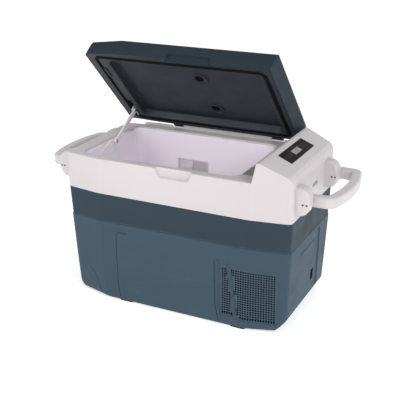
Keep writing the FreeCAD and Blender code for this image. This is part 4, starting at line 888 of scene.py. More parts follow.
LT = RIM - 5.0
rings = [tub(-3.8, lx1, LT - 2.2), tub(-3.8, lx1, LT - 0.4), tub(-3.4, lx1, LT)]
for k in range(6):
    t = math.radians(90 * k / 5)
    rings.append(tub(-2.5 + 2.5 * math.sin(t), lx1, LT - 2.5 + 2.5 * math.cos(t)))
rings.append(tub(0, lx1, 300))
# step over the compressor: a shelf with rolled edges on the right
for k in range(5):
    t = math.radians(90 * k / 4)
    x1 = lx1 - 10 * (1 - math.cos(t))
    rings.append(rz(rrect(lx0, x1, ly0, ly1, 32, 10), HUZ + 10 - 10 * math.sin(t)))
for k in range(5):
    t = math.radians(90 * k / 4)
    x1 = HUX + 6 - 6 * math.sin(t)
    rings.append(rz(rrect(lx0, x1, ly0, ly1, 32, 10), HUZ - 6 * (1 - math.cos(t)) - 0.01))
rings.append(tub(0.3, HUX, 120))
for k in range(6):
    t = math.radians(90 * k / 5)
    rings.append(tub(0.4 + 12 * (1 - math.cos(t)), HUX, FLZ + 12 - 12 * math.sin(t)))
tubob = loft("inner_liner_tub", rings, cap0=False)
# outside of the lining, 2 mm off, so that it is a real moulding
m_ = tubob.modifiers.new("s", "SOLIDIFY")
m_.thickness = 0.0018
m_.offset = -1.0
bm = bmesh.new()
bm.from_mesh(tubob.data)
bmesh.ops.recalc_face_normals(bm, faces=bm.faces)
# normals should look into the cabin
cx_ = Vector(((lx0 + lx1) / 2000, (0 - SH) / 1000, 0.25))
f0 = max(bm.faces, key=lambda f: -f.calc_center_median().z)
if f0.normal.z < 0:
    bmesh.ops.reverse_faces(bm, faces=bm.faces)
bm.to_mesh(tubob.data)
bm.free()
apply_mods(tubob)
# relief for the stay guide, which hangs here when the lid is down
bm = bmesh.new()
bm.from_mesh(tubob.data)
for co, no in (((0, 110.0, 0), (0, 1, 0)), ((0, 112.0, 0), (0, 1, 0)), ((0, 130.5, 0), (0, 1, 0)), ((0, 132.5, 0), (0, 1, 0)), ((0, 0, 431.4), (0, 0, 1))):
    bmesh.ops.bisect_plane(bm, geom=bm.verts[:] + bm.edges[:] + bm.faces[:], dist=1e-7, plane_co=(co[0] / 1000, (co[1] - SH) / 1000 if co[1] else 0.0, co[2] / 1000), plane_no=no)
for v_ in bm.verts:
    yy = v_.co.y * 1000 + SH
    if v_.co.x < -0.290 and 111.9 < yy < 130.6 and v_.co.z > 0.4314:
        v_.co.z = 0.4314
bmesh.ops.remove_doubles(bm, verts=bm.verts[:], dist=1e-6)
bmesh.ops.dissolve_degenerate(bm, edges=bm.edges[:], dist=1e-6)
bm.to_mesh(tubob.data)
bm.free()
done(tubob, "cabinet", M_TUB_LIT, ["inner_liner"], angle=40)
# vent and lamp set into the rear wall
LX0, LX1, LZ0, LZ1 = -150.0, -46.0, 317.0, 356.0
fr = loft("cabin_vent_frame_body", [ry(rrect(LX0, LX1, LZ0, LZ1, 3, 4), ly1 - 0.05), ry(rrect(LX0, LX1, LZ0, LZ1, 3, 4), ly1 - 2.0), ry(rrect(LX0 + 1, LX1 - 1, LZ0 + 1, LZ1 - 1, 2.4, 4), ly1 - 3.0),
                              ry(rrect(LX0 + 4.4, LX1 - 4.4, LZ0 + 4.4, LZ1 - 4.4, 1.6, 4), ly1 - 3.0), ry(rrect(LX0 + 5.0, LX1 - 5.0, LZ0 + 5.0, LZ1 - 5.0, 1.4, 4), ly1 - 2.4), ry(rrect(LX0 + 5, LX1 - 5, LZ0 + 5, LZ1 - 5, 1.4, 4), ly1 - 0.05)], closed=True)
done(fr, "cabinet", M_WHITE, ["cabin_vent_frame"], angle=40)
mid = (LX0 + LX1) / 2
sl = [bbox_obj("b", LX0 + 5.2, mid - 0.4, ly1 - 1.6, ly1 - 0.8, LZ0 + 5.2, LZ1 - 5.2, 0.3)]
for k in range(6):
    z = LZ0 + 8.2 + k * 4.5
    V = [(x, y, zz) for x in (LX0 + 8, mid - 3.4) for y, zz in ((ly1 - 0.9, z + 2.6), (ly1 - 2.4, z), (ly1 - 2.2, z - 0.5), (ly1 - 0.9, z + 1.4))]
    sl.append(mesh_obj("l", V, [(0, 1, 2, 3), (4, 7, 6, 5), (0, 4, 5, 1), (1, 5, 6, 2), (2, 6, 7, 3), (3, 7, 4, 0)]))
done(join("cabin_vent_louvre_body", sl), "cabinet", M_GREY, ["cabin_vent_louvre"], weighted=False)
ln = loft("cabin_lamp_lens_body", [ry(rrect(mid + 0.3, LX1 - 5.3, LZ0 + 5.2, LZ1 - 5.2, 1.2, 3), ly1 - 0.8), ry(rrect(mid + 0.3, LX1 - 5.3, LZ0 + 5.2, LZ1 - 5.2, 1.2, 3), ly1 - 1.8), ry(rrect(mid + 1.2, LX1 - 6.2, LZ0 + 6.1, LZ1 - 6.1, 1.0, 3), ly1 - 2.2)])
rb = [ln]
for k in range(10):
    x = mid + 4.2 + k * 4.15
    rb.append(tube("r", [(x, ly1 - 2.1, LZ0 + 8), (x, ly1 - 2.1, LZ1 - 8)], 0.5, 6))
done(join("cabin_lamp_lens_body", rb), "cabinet", M_LENS, ["cabin_lamp_lens"], weighted=False)
# cover of the lid switch on the deck; its mid grey is partly the cover's own tone and partly painted shade at the foot
# of the console
V = rrect(190.2, 232.6, -134, -66, 4, 5)
sw = loft("lid_switch_cover_body", [rz(V, RIM - 1.4), rz(V, RIM - 0.35), rz(rrect(190.5, 232.3, -133.7, -66.3, 3.8, 5), RIM - 0.05), rz(rrect(191.2, 231.6, -133.0, -67.0, 3.4, 5), RIM + 0.08)])
cuts = []
for k in range(6):
    cuts.append(loft("c", [rz(rrect(197, 226, -128 + k * 10.4, -124.4 + k * 10.4, 1.7, 4), RIM - 0.7), rz(rrect(197, 226, -128 + k * 10.4, -124.4 + k * 10.4, 1.7, 4), RIM + 3)]))
boolean(sw, join("cuts", cuts))
done(sw, "cabinet", M_SHADE, ["lid_switch_cover"], angle=35)

# ------------------------------------------------------------------ control panel
BTN_V = [-62.0, -42.0, 42.0, 62.0]
pn = loft("control_panel_plate", [slope_ring(rrect(-22, 22, -90, 90, 3.2, 5), -1.5), slope_ring(rrect(-22, 22, -90, 90, 3.2, 5), 0.5), slope_ring(rrect(-21.5, 21.5, -89.5, 89.5, 2.8, 5), 0.85), slope_ring(rrect(-21.0, 21.0, -89, 89, 2.5, 5), 0.9)])
cuts = [loft("c", [slope_ring(rrect(-9.2, 9.2, -25.2, 25.2, 1.2, 4), -0.35), slope_ring(rrect(-9.2, 9.2, -25.2, 25.2, 1.2, 4), 3)])]
nrm = slope(0, 0, 1) - slope(0, 0, 0)
for v in BTN_V:
    cuts.append(disc("c", slope(0, v, -3), nrm, [(0, 0), (5.8, 0), (5.8, 8), (0, 8)], 32))
boolean(pn, join("cuts", cuts))
done(pn, "cabinet", M_PANEL, ["control_panel"], angle=35)
ln = loft("display_lens_window", [slope_ring(rrect(-9, 9, -25, 25, 1.0, 4), -0.3), slope_ring(rrect(-9, 9, -25, 25, 1.0, 4), 0.7), slope_ring(rrect(-8.6, 8.6, -24.6, 24.6, 0.8, 4), 0.9)])
done(ln, "cabinet", M_LCD, ["display_lens"], angle=35)
# seven-segment figures, u down the slope, v along the panel


def seg_boxes(digit, v0, hgt=11.0, wid=6.2, t=1.2):
    on = {"0": "abcdef", "1": "bc", "8": "abcdefg", "4": "bcfg", "-": "g", "3": "abcdg", "5": "acdfg"}[digit]
    r = []
    hu, wv = hgt / 2, wid / 2
    S = {"a": (-hu, -hu + t, -wv + 0.6, wv - 0.6), "g": (-t / 2, t / 2, -wv + 0.6, wv - 0.6), "d": (hu - t, hu, -wv + 0.6, wv - 0.6),
         "f": (-hu + 0.6, -0.6, -wv, -wv + t), "b": (-hu + 0.6, -0.6, wv - t, wv), "e": (0.6, hu - 0.6, -wv, -wv + t), "c": (0.6, hu - 0.6, wv - t, wv)}
    for ch_ in on:
        u0, u1, w0, w1 = S[ch_]
        r.append(loft("d", [slope_ring(rrect(u0, u1, v0 + w0, v0 + w1, 0.4, 2), 0.6), slope_ring(rrect(u0, u1, v0 + w0, v0 + w1, 0.4, 2), 0.95)]))
    return r


fig = seg_boxes("-", -13) + seg_boxes("1", -4.5) + seg_boxes("8", 4.5)
o_ = rrect(-5.2, -2.6, 11.2, 13.8, 1.2, 4)
i_ = rrect(-4.5, -3.3, 11.9, 13.1, 0.55, 4)
fig.append(loft("d", [slope_ring(o_, 0.6), slope_ring(o_, 0.95), slope_ring(i_, 0.95), slope_ring(i_, 0.6)], closed=True))
done(join("display_figures", fig), "cabinet", M_INK, weighted=False)


def ring_mark(c_v, r0, r1, w0, w1, u=0.0, a0=0.0, a1=360.0, n=28):
    """Flat ring or arc on the slope."""
    R = []
    full = abs(a1 - a0) >= 359.9
    for k in range(n if full else n + 1):
        a = math.radians(a0 + (a1 - a0) * k / n)
        ca, sa = math.cos(a), math.sin(a)
        R.append([slope(u + r0 * ca, c_v + r0 * sa, w0), slope(u + r1 * ca, c_v + r1 * sa, w0), slope(u + r1 * ca, c_v + r1 * sa, w1), slope(u + r0 * ca, c_v + r0 * sa, w1)])
    return loft("m", [np.array(q) for q in R], closed=full)


def bar_mark(u0, u1, v0, v1, w0, w1):
    o = rrect(min(u0, u1), max(u0, u1), min(v0, v1), max(v0, v1), 0.25, 2)
    return loft("m", [slope_ring(o, w0), slope_ring(o, w1)])


BN = ["button_power", "button_set", "button_plus", "button_minus"]
for nm, v in zip(BN, BTN_V):
    b_ = disc(nm + "_cap", slope(0, v, -0.7), nrm, [(0, 0), (5.5, 0), (5.5, 1.8), (5.25, 2.25), (4.7, 2.48), (4.2, 2.44), (3.0, 2.22), (0, 2.1)], 40)
    done(b_, nm, M_BUTTON, [nm], angle=50)
    w0, w1 = 1.3, 1.62
    if nm == "button_power":
        mk = [ring_mark(v, 1.7, 2.3, w0, w1, 0, -140, 140), bar_mark(-2.8, -0.4, v - 0.3, v + 0.3, w0, w1)]
    elif nm == "button_set":
        mk = [ring_mark(v, 1.1, 1.6, w0, w1)] + [bar_mark(-2.6, -1.9, v - 0.3, v + 0.3, w0, w1), bar_mark(1.9, 2.6, v - 0.3, v + 0.3, w0, w1), bar_mark(-0.3, 0.3, v - 2.6, v - 1.9, w0, w1), bar_mark(-0.3, 0.3, v + 1.9, v + 2.6, w0, w1)]
    elif nm == "button_plus":
        mk = [bar_mark(-0.35, 0.35, v - 2.3, v + 2.3, w0, w1), bar_mark(-2.3, -0.36, v - 0.35, v + 0.35, w0, w1), bar_mark(0.36, 2.3, v - 0.35, v + 0.35, w0, w1)]
    else:
        mk = [bar_mark(-0.35, 0.35, v - 2.3, v + 2.3, w0, w1)]
    done(join(nm + "_mark", mk), nm, M_PRINT, weighted=False)
# printed rings and indicator dots on the film
mk = []
for v in BTN_V:
    mk.append(ring_mark(v, 7.0, 7.35, 0.85, 0.93, 0, 0, 360, 40))
for v in (-32.0, 32.0, -78.0, 78.0):
    mk.append(ring_mark(v, 0.5, 1.3, 0.85, 0.95, -8.0 if abs(v) < 40 else 0.0))
done(join("control_panel_print", mk), "cabinet", M_PRINT, weighted=False)
# port cover
o0 = rrect(7 - 22.6, 7 + 22.6, 393 - 5.6, 393 + 5.6, 5.5, 8)
o1 = rrect(7 - 21.8, 7 + 21.8, 393 - 4.8, 393 + 4.8, 4.7, 8)
pc = loft("usb_port_cover_cap", [rx(o0, A - 2), rx(o0, A - 0.6), rx(o1, A + 0.0)])
boolean(pc, loft("c", [rx(rrect(7 - 17, 7 + 17, 393 - 1.6, 393 + 1.6, 1.5, 5), A - 1.2), rx(rrect(7 - 17, 7 + 17, 393 - 1.6, 393 + 1.6, 1.5, 5), A + 2)]))
done(pc, "cabinet", M_PORT, ["usb_port_cover"], angle=35)

# ------------------------------------------------------------------ handles
HX, HZ, HHT, HWD, HR, HB = HXA, 388.0, 32.0, 28.5, 446.0, 14.0
ARM_Y = [(-117.4, -91.4), (125.0, 151.0)]


def arc3(p0, p1, p2, n):
    """Points on the circle through three points, p0 to p2."""
    ax, ay = p0; bx, by = p1; cx, cy = p2
    d = 2 * (ax * (by - cy) + bx * (cy - ay) + cx * (ay - by))
    ux = ((ax * ax + ay * ay) * (by - cy) + (bx * bx + by * by) * (cy - ay) + (cx * cx + cy * cy) * (ay - by)) / d
    uy = ((ax * ax + ay * ay) * (cx - bx) + (bx * bx + by * by) * (ax - cx) + (cx * cx + cy * cy) * (bx - ax)) / d
    r = math.hypot(ax - ux, ay - uy)
    a0, a1, a2 = (math.atan2(q[1] - uy, q[0] - ux) for q in (p0, p1, p2))
    da = (a2 - a0 + math.pi) % (2 * math.pi) - math.pi
    return [(ux + r * math.cos(a0 + da * k / n), uy + r * math.sin(a0 + da * k / n)) for k in range(n + 1)]


def handle(sx, name, node, body):
    yo0, yi0, yi1, yo1 = ARM_Y[0][0], ARM_Y[0][1], ARM_Y[1][0], ARM_Y[1][1]
    ym = (yo0 + yo1) / 2
    rc, ri, q = 30.0, 8.0, math.sqrt(0.5)
    xo, xi = HR, HR - HWD
    na, nb, nl = 10, 26, 6
    ends = [HX - 15 + 15 * (1 - math.cos(math.radians(90 * k / 6))) for k in range(7)]
    out, inn = [], []
    for x in ends:
        out.append((x, yo0)); inn.append((x, yi0))
    xs_o = np.linspace(HX, xo - rc, nl + 1)[1:]
    xs_i = np.linspace(HX, xi - ri, nl + 1)[1:]
    out += [(x, yo0) for x in xs_o]; inn += [(x, yi0) for x in xs_i]
    out += arc3((xo - rc, yo0), (xo - rc + rc * q, yo0 + rc - rc * q), (xo, yo0 + rc), na)[1:]
    inn += arc3((xi - ri, yi0), (xi - ri + ri * q, yi0 + ri - ri * q), (xi, yi0 + ri), na)[1:]
    out += arc3((xo, yo0 + rc), (xo + HB, ym), (xo, yo1 - rc), nb)[1:]
    inn += arc3((xi, yi0 + ri), (xi + HB, ym), (xi, yi1 - ri), nb)[1:]
    out += arc3((xo, yo1 - rc), (xo - rc + rc * q, yo1 - rc + rc * q), (xo - rc, yo1), na)[1:]
    inn += arc3((xi, yi1 - ri), (xi - ri + ri * q, yi1 - ri + ri * q), (xi - ri, yi1), na)[1:]
    out += [(x, yo1) for x in xs_o[::-1][1:]] + [(x, yo1) for x in ends[::-1]]
    inn += [(x, yi1) for x in xs_i[::-1][1:]] + [(x, yi1) for x in ends[::-1]]
    rings = []
    for (ox, oy), (ix, iy) in zip(out, inn):
        h = HHT / 2
        if ox < HX and abs(ox - ix) < 1e-6:
            h = min(h, math.sqrt(max(1.0, 15.0 ** 2 - (HX - ox) ** 2)))
            h = max(h, 2.2)
        elif abs(ox - ix) < 1e-6 and ox < HX + 14:
            s = (ox - HX) / 14.0
            h = 15.0 + s * s * (3 - 2 * s)
        w = math.hypot(ox - ix, oy - iy)
        r = min(7.0, h * 0.95)
        o = rrect(0, w, -h, h, r, 6)
        dx, dy = (ox - ix) / w, (oy - iy) / w
        rings.append(np.array([(sx * (ix + dx * p[0]), iy + dy * p[0], HZ + p[1]) for p in o]))
    ob = loft(name, rings)
    return done(ob, body, M_HANDLE, [node], angle=55)


handle(1, "handle_right_grip_bar", "handle_right", "handle_right")
handle(-1, "handle_left_grip_bar", "handle_left", "handle_left")
# screws in the bosses, with a cross recess
for sx, sn in ((1, "right"), (-1, "left")):
    heads = []
    for y0, y1 in BOSS_Y:
        for dx in (-2, 8):
            c = (sx * (HXA + dx), y0 + 1.6, 389)
            h_ = disc("h", c, (0, -1, 0), [(0, 0), (2.1, 0), (2.1, 1.0), (1.7, 1.35), (0, 1.5)], 20)
            cc = [bbox_obj("x", c[0] - 1.2, c[0] + 1.2, y0 - 1, y0 + 0.9, 389 - 0.28, 389 + 0.28), bbox_obj("x", c[0] - 0.28, c[0] + 0.28, y0 - 1, y0 + 0.9, 389 - 1.2, 389 + 1.2)]
            boolean(cc[0], cc[1], "UNION")
            boolean(h_, cc[0])
            heads.append(h_)
    done(join("boss_screw_heads_" + sn, heads), "cabinet", M_SCREW, ["boss_screws_" + sn], weighted=False)

# ------------------------------------------------------------------ lid


def lid_out(xl, xr, yf, yfc, yr, af, c, rs=3.0):
    """Lid plan: cut front left corner like the cabinet, straight right end."""
    s = (abs(yf) - yfc) / ((xl - c) - af)
    yv = -(yfc - s * c)
    pts = [(-af, yf), (xr, yf), (xr, yr), (-af, yr), (-xl, yr - 4.5), (-xl, yv)]
    return fillet(pts, [60, rs, rs, 120, c, c], [6, 4, 4, 4, 10, 10])


def lid_sections():
    """(z, left, right, front, front corner, rear, facet, corner radius)."""
    R = LID_REAR
    return [(LU, 336.5, 237.5, 189.5, 177, R, 232, 12), (LU + 20, 335.5, 241.5, 189.2, 176.5, R, 232, 12), (LU + 37, 333.4, 245.4, 188.5, 175.4, R - 0.6, 231.5, 12),
            (LU + 42, 332, 246.5, 187.8, 174.4, R - 1.1, 231, 12), (LU + 46, 328.6, 247.0, 186.2, 170.0, R - 2.4, 229.5, 12), (LU + 49, 324.4, 246.8, 184, 165.0, R - 4.6, 228, 12),
            (LU + 51.1, 317, 245.2, 180.6, 158.0, R - 8, 225, 12), (TOP, 308, 241.0, 176.0, 150.0, R - 13, 221, 12)]


LID_REAR = None
# rear plane of the lid from the CAD node, turned back to the closed pose
_co = np.array([v.co for v in NODE["lid_shell"].data.vertices])
_c = np.array([0, (HINGE_Y - SH) / 1000, HINGE_Z / 1000])
_t = math.radians(LID_OPEN)
_d = _co - _c
_yc = _c[1] + _d[:, 1] * math.cos(_t) - _d[:, 2] * math.sin(_t)
_zc = _c[2] + _d[:, 1] * math.sin(_t) + _d[:, 2] * math.cos(_t)
_mask = _zc > (LU + 15) / 1000
LID_REAR = float(_yc[_mask].max() * 1000 + SH)
S = lid_sections()


def lring(s, d, z=None):
    return rz(lid_out(s[1] - d, s[2] - d, -(s[3] - d), s[4] - d, s[5] - d, s[6] - d * 0.4, max(s[7] - d * 0.6, 3), max(3.0 - d * 0.4, 1.2)), s[0] if z is None else z)


rings = []
inner_z = [LU + 48, LU + 46, LU + 42, LU + 30, LU + 6, LU + 0.5]
for z in inner_z:
    zs = [q[0] for q in S]
    s = [z] + [float(np.interp(z, zs, [q[k] for q in S])) for k in range(1, 8)]
    rings.append(lring(s, 3.0))
rings += [lring(S[0], 2.4, LU), lring(S[0], 0.9, LU), lring(S[0], 0.25, LU + 0.3), lring(S[0], 0.0, LU + 1.0)]
for s in S[1:]:
    rings.append(lring(s, 0.0))
lid = loft("lid_shell_cover", rings)
# grip recess in the front wall
boolean(lid, bbox_obj("pad", -74, 71, -B + 2.2, -B + 15, LU + 0.02, LU + 24), "UNION")


def grip(o):
    return fillet([(-69 - o, LU - 6), (66 + o, LU - 6), (63 + o, LU + 17.5 + o), (-66 - o, LU + 17.5 + o)], [1, 1, 5, 5], [2, 2, 5, 5])


boolean(lid, loft("grip", [ry(grip(2.2), -B - 3), ry(grip(2.0), -B + 0.4), ry(grip(0.7), -B + 1.3), ry(grip(0.0), -B + 2.8), ry(grip(-0.6), -B + 9.2), ry(grip(-2.5), -B + 10.8)]))
# ears that carry the hinge pin
for sx in (1, -1):
    xa, xb = (149.6, 184) if sx > 0 else (-184, -149.6)
    o = fillet([(LID_REAR - 2, LU + 1), (HINGE_Y + 4.4, LU + 0.2), (HINGE_Y + 6.2, LU + 5), (HINGE_Y + 3.0, LU + 10.3), (LID_REAR - 2, LU + 11)], [0.5, 4, 3.5, 3.5, 0.5], 5)
    ear = loft("ear", [rx(shrink(o, 0.8), xa), rx(shrink(o, 0.2), xa + 0.5), rx(o, xa + 1.2), rx(o, xb - 1.2), rx(shrink(o, 0.2), xb - 0.5), rx(shrink(o, 0.8), xb)])
    boolean(lid, ear, "UNION")
tidy(lid)
done(lid, "lid", M_LID_SHADED, ["lid_shell"], angle=30, lid=True)

# lid lining with its tray, the stay channel and the seal's seat
LS = list(S[0])
rings = [lring(LS, 3.4, LU + 25), lring(LS, 3.4, LU + 1.2), lring(LS, 4.0, LU + 0.55), lring(LS, 5.0, LU + 0.3)]
liner = loft("lid_liner_panel", rings)
TL, TR, TF, TB, TD = 272.0, 198.0, 150.0, 146.0, 20.0


def tray(o, z):
    return rz(rrect(-TL - o, TR + o, -TF - o, TB + o, 22 + o, 9), z)


rings = [tray(2.2, LU - 2), tray(2.2, LU + 0.28), tray(1.0, LU + 0.6), tray(0.2, LU + 1.6), tray(-1.0, LU + 5), tray(-4.6, LU + 16.5)]
for k in range(1, 5):
    t = math.radians(90 * k / 4)
    rings.append(tray(-4.6 - 1.0 - 3.5 * (1 - math.cos(t)), LU + 16.5 + 3.5 * math.sin(t)))
boolean(liner, loft("tray", rings))
boolean(liner, loft("chan", [rz(rrect(-303, -289, 62, 153.5, 2.5, 4), LU - 2), rz(rrect(-303, -289, 62, 153.5, 2.5, 4), LU + 21)]))
# low bead round the tray and shallow seat under the seal
boolean(liner, loft("gripc", [ry(grip(5), -B - 3), ry(grip(5), -B + 14.6)]))
GL, GR, GF, GB, GW, GT = 313.0, 221.0, 168.5, 163.0, 12.0, 2.7


def grect(o, z, cl=9.6, cb=10.0):
    return rz(rrect(-GL - max(o, -cl), GR + o, -GF - o, GB + max(o, -cb), 24 + o, 8), z)


boolean(liner, loft("seat", [grect(1.1, LU - 0.6), grect(1.1, LU + 1.3), grect(-GW - 1.1, LU + 1.3, 10.6, 11.1), grect(-GW - 1.1, LU - 0.6, 10.6, 11.1)], closed=True))
tidy(liner)
done(liner, "lid", M_LINER, ["lid_liner"], angle=30, lid=True)
# seal: flat foot and a rounded bulb with a lip
gp = [(0.0, 1.25), (0.0, -0.1), (-1.1, -0.6), (-1.9, -1.6), (-3.6, -2.4), (-5.6, -2.62), (-7.6, -2.4), (-9.0, -1.6), (-9.5, -0.7), (-12.0, -0.2), (-12.0, 1.25)]
seal = loft("lid_gasket_seal", [grect(o, LU + z) for o, z in gp], closed=True)
done(seal, "lid", M_RUBBER, ["lid_gasket"], angle=50, lid=True)
for nm, x, y in [("lid_plug_front", -7.0, -72.0), ("lid_plug_rear", -5.0, 82.0)]:
    z1 = LU + TD
    # cup with a rolled rim and a sunk floor
    p = disc(nm + "_disc", (x, y, z1 + 0.5), (0, 0, -1), [(0, 0), (24, 0), (24, 2.0), (23.6, 3.0), (22.6, 3.9), (21.4, 4.2), (20.2, 3.9), (19.2, 2.6), (18.6, 1.2), (17.6, 0.7), (0, 0.6)], 56)
    done(p, "lid", M_LINER, [nm], angle=40, lid=True)
    # dark disc set off-centre in the cup: painted shadow, standing in for the shade under the cup's rim; it is not a
    # seal
    q = disc(nm + "_seal", (x - 4.2, y - 1.8, z1 - 0.05), (0, 0, -1), [(0, 0), (12.6, 0), (12.6, 0.5), (12.0, 0.8), (9.4, 0.8), (7.9, 0.5), (0, 0.45)], 40)
    done(q, "lid", M_RUBBER, (), angle=40, lid=True)
mg = bbox_obj("lid_magnet_block", -302.5, -293.5, -109, -69, LU - 2.0, LU + 0.4, 0.7, 3)
done(mg, "lid", M_BLACK, ["lid_magnet"], lid=True)

# ------------------------------------------------------------------ hinge rail
o = fillet([(HINGE_Y - 7, RIM), (HINGE_Y + 7, RIM), (HINGE_Y + 7, 450), (HINGE_Y + 4.6, 453.9), (HINGE_Y - 4.6, 453.9), (HINGE_Y - 7, 450)], [0.6, 0.6, 3, 4, 4, 3], [2, 2, 4, 4, 4, 4])


rail = loft("hinge_rail_block", [rx(shrink(o, 0.9), -149), rx(shrink(o, 0.2), -148.4), rx(o, -147.6), rx(o, 147.6), rx(shrink(o, 0.2), 148.4), rx(shrink(o, 0.9), 149)])
cuts = []
for k in range(-2, 3):
    cuts.append(bbox_obj("c", k * 58 - 0.5, k * 58 + 0.5, HINGE_Y - 8, HINGE_Y + 8, 451.8, 456))
boolean(rail, join("cuts", cuts))
done(rail, "cabinet", M_WHITE, ["hinge_rail"], angle=35)

# ------------------------------------------------------------------ lid stay
SY, SZ, SL = 14.0, 428.0, 134.5
SX0, ST = -296.5, 6.6
o = fillet([(-66, 411), (-4, 437), (22, 437), (24, 392), (-50, 392)], [6, 8, 9, 4, 6], 5)
br = loft("stay_bracket_plate", [rx(o, -299.9), rx(o, SX0 - 1.3), rx(shrink(o, 0.9), SX0 - 0.5)])
boolean(br, bbox_obj("b", -303.9, -299.4, -48, 20, 408, 434, 1.0, 2), "UNION")
boolean(br, disc("c", (SX0 - 0.2, SY, SZ), (-1, 0, 0), [(0, 0), (7.5, 0), (7.5, 1.1), (0, 1.1)], 36))
web = loft("c", [rx(fillet([(-44, 410), (-8, 424), (-4, 400), (-38, 400)], 4, 4), SX0 - 1.5), rx(fillet([(-44, 410), (-8, 424), (-4, 400), (-38, 400)], 4, 4), SX0 + 2)])
boolean(br, web)
done(br, "cabinet", M_BRACKET_LIT, ["stay_bracket"], angle=35)


def arm_xf(ob):
    """Level arm to its open angle about its pivot."""
    c = Vector((0, (SY - SH) / 1000, SZ / 1000))
    ob.data.transform(Matrix.Translation(c) @ Matrix.Rotation(math.radians(30.38), 4, "X"))
    return ob


def raw(name, verts, faces):
    me = bpy.data.meshes.new(name)
    me.from_pydata([tuple(np.array(v) / 1000.0) for v in verts], [], faces)
    bm_ = bmesh.new()
    bm_.from_mesh(me)
    bmesh.ops.recalc_face_normals(bm_, faces=bm_.faces)
    bm_.to_mesh(me)
    bm_.free()
    return link(bpy.data.objects.new(name, me))


def arm_outline(d):
    """Side view of the link: round ends, a slight waist; y along the arm."""
    pts = []
    for k in range(17):
        a = math.radians(50 + 260 * k / 16)
        pts.append(((9.5 - d) * math.cos(a), (9.5 - d) * math.sin(a)))
    for k in range(1, 8):
        t = k / 8
        pts.append((6 + (SL - 6) * t, -(6.9 - d) + 0.6 * math.sin(math.pi * t)))
    for k in range(13):
        a = math.radians(-90 + 180 * k / 12)
        pts.append((SL + (6.2 - d) * math.cos(a), (6.2 - d) * math.sin(a)))
    for k in range(7, 0, -1):
        t = k / 8
        pts.append((6 + (SL - 6) * t, (6.9 - d) - 0.6 * math.sin(math.pi * t)))
    return np.array(pts)


def lraw(name, rings, closed=False):
    n = len(rings[0]); m = len(rings)
    V = np.vstack(rings)
    F = []
    for i in range(m if closed else m - 1):
        a, b = i * n, ((i + 1) % m) * n
        for k in range(n):
            F.append((a + k, a + (k + 1) % n, b + (k + 1) % n, b + k))
    if not closed:
        F += [tuple(range(n))[::-1], tuple(range((m - 1) * n, m * n))]
    return raw(name, V, F)


arm = lraw("stay_arm_link", [rx(arm_outline(0.7), SX0), rx(arm_outline(0.15), SX0 + 0.4), rx(arm_outline(0), SX0 + 0.9), rx(arm_outline(0), SX0 + ST - 0.9), rx(arm_outline(0.15), SX0 + ST - 0.4), rx(arm_outline(0.7), SX0 + ST)])
slotv = fillet([(20, -2.2), (SL - 22, -2.2), (SL - 22, 2.2), (20, 2.2)], 2.1, 6)
boolean(arm, lraw("c", [rx(slotv, SX0 + ST - 1.5), rx(slotv, SX0 + ST + 2)]))
arm_xf(arm)
done(arm, "stay", M_STAY, ["stay_arm"], angle=35)


def pin_disc(name, x0, x1, y, z, r, head=0.0, side=1):
    L_ = abs(x1 - x0)
    d = (1, 0, 0) if x1 > x0 else (-1, 0, 0)
    pr = [(0, 0), (r - 0.4, 0), (r, 0.4), (r, L_ - 0.4), (r - 0.4, L_), (0, L_)]
    if head:
        pr = [(0, 0), (r - 0.4, 0), (r, 0.4), (r, L_ - 1.6), (head, L_ - 1.6), (head, L_ - 0.8), (head - 0.7, L_ - 0.1), (head * 0.4, L_), (0, L_)]
    return disc(name, (x0, y, z), d, pr, 28)


pv = pin_disc("stay_pivot_pin_rivet", -303.5, -288.4, SY, SZ, 3.0, 6.2)
done(pv, "cabinet", M_STEEL, ["stay_pivot_pin"], angle=40)
cphi = math.radians(30.38)
ey, ez = SY + SL * math.cos(cphi), SZ + SL * math.sin(cphi)
sp = pin_disc("stay_slide_pin_rivet", -301.4, -289.3, ey, ez, 2.5, 4.6)
done(sp, "stay", M_SCREW, ["stay_slide_pin"], angle=40)

# ------------------------------------------------------------------ power inlet
IX = 343.7
so = rrect(INY - 12, INY + 12, INZ - 18, INZ + 18, 2.2, 4)
si = rrect(INY - 9.5, INY + 9.5, INZ - 15.5, INZ + 15.5, 1.6, 4)
xw = side_x(INZ)
sock = loft("power_inlet_socket", [rx(si, IX - 14.9), rx(si, xw - 1.6), rx(rrect(INY - 10.1, INY + 10.1, INZ - 16.1, INZ + 16.1, 1.9, 4), xw - 0.8), rx(rrect(INY - 11.6, INY + 11.6, INZ - 17.6, INZ + 17.6, 2.1, 4), xw - 0.8), rx(so, xw - 1.3), rx(so, IX - 18)])
done(sock, "cabinet", M_INLET, ["power_inlet"], angle=35)

# ------------------------------------------------------------------ carried-over CAD pieces
CARRY = {
    "foot_front_left": M_RUBBER, "foot_front_right": M_RUBBER, "foot_rear_left": M_RUBBER, "foot_rear_right": M_RUBBER,
    "evaporator_wrap": M_ALU, "foam_insulation": M_FOAM, "compressor_plate": M_PLATE, "compressor_grommets": M_RUBBER, "compressor": M_COMP,
    # the condenser and its bracket take the compressor's black: partly their own paint, partly painted shade in the
    # compartment behind the grilles
    "compressor_foot": M_PLATE, "condenser": M_COMP, "condenser_bracket": M_COMP, "fan_frame": M_BLACK, "fan_stand": M_BLACK, "fan_rotor": M_BLACK,
    "discharge_tube": M_COPPER, "suction_tube": M_COPPER, "control_board": M_PCB, "board_bracket": M_PLATE, "inlet_blades": M_BRASS,
    "hinge_pin": M_STEEL, "lid_foam": M_FOAM, "stay_guide": M_STAY,
    "handle_right_pin_front": M_STEEL, "handle_right_pin_rear": M_STEEL, "handle_left_pin_front": M_STEEL, "handle_left_pin_rear": M_STEEL,
}
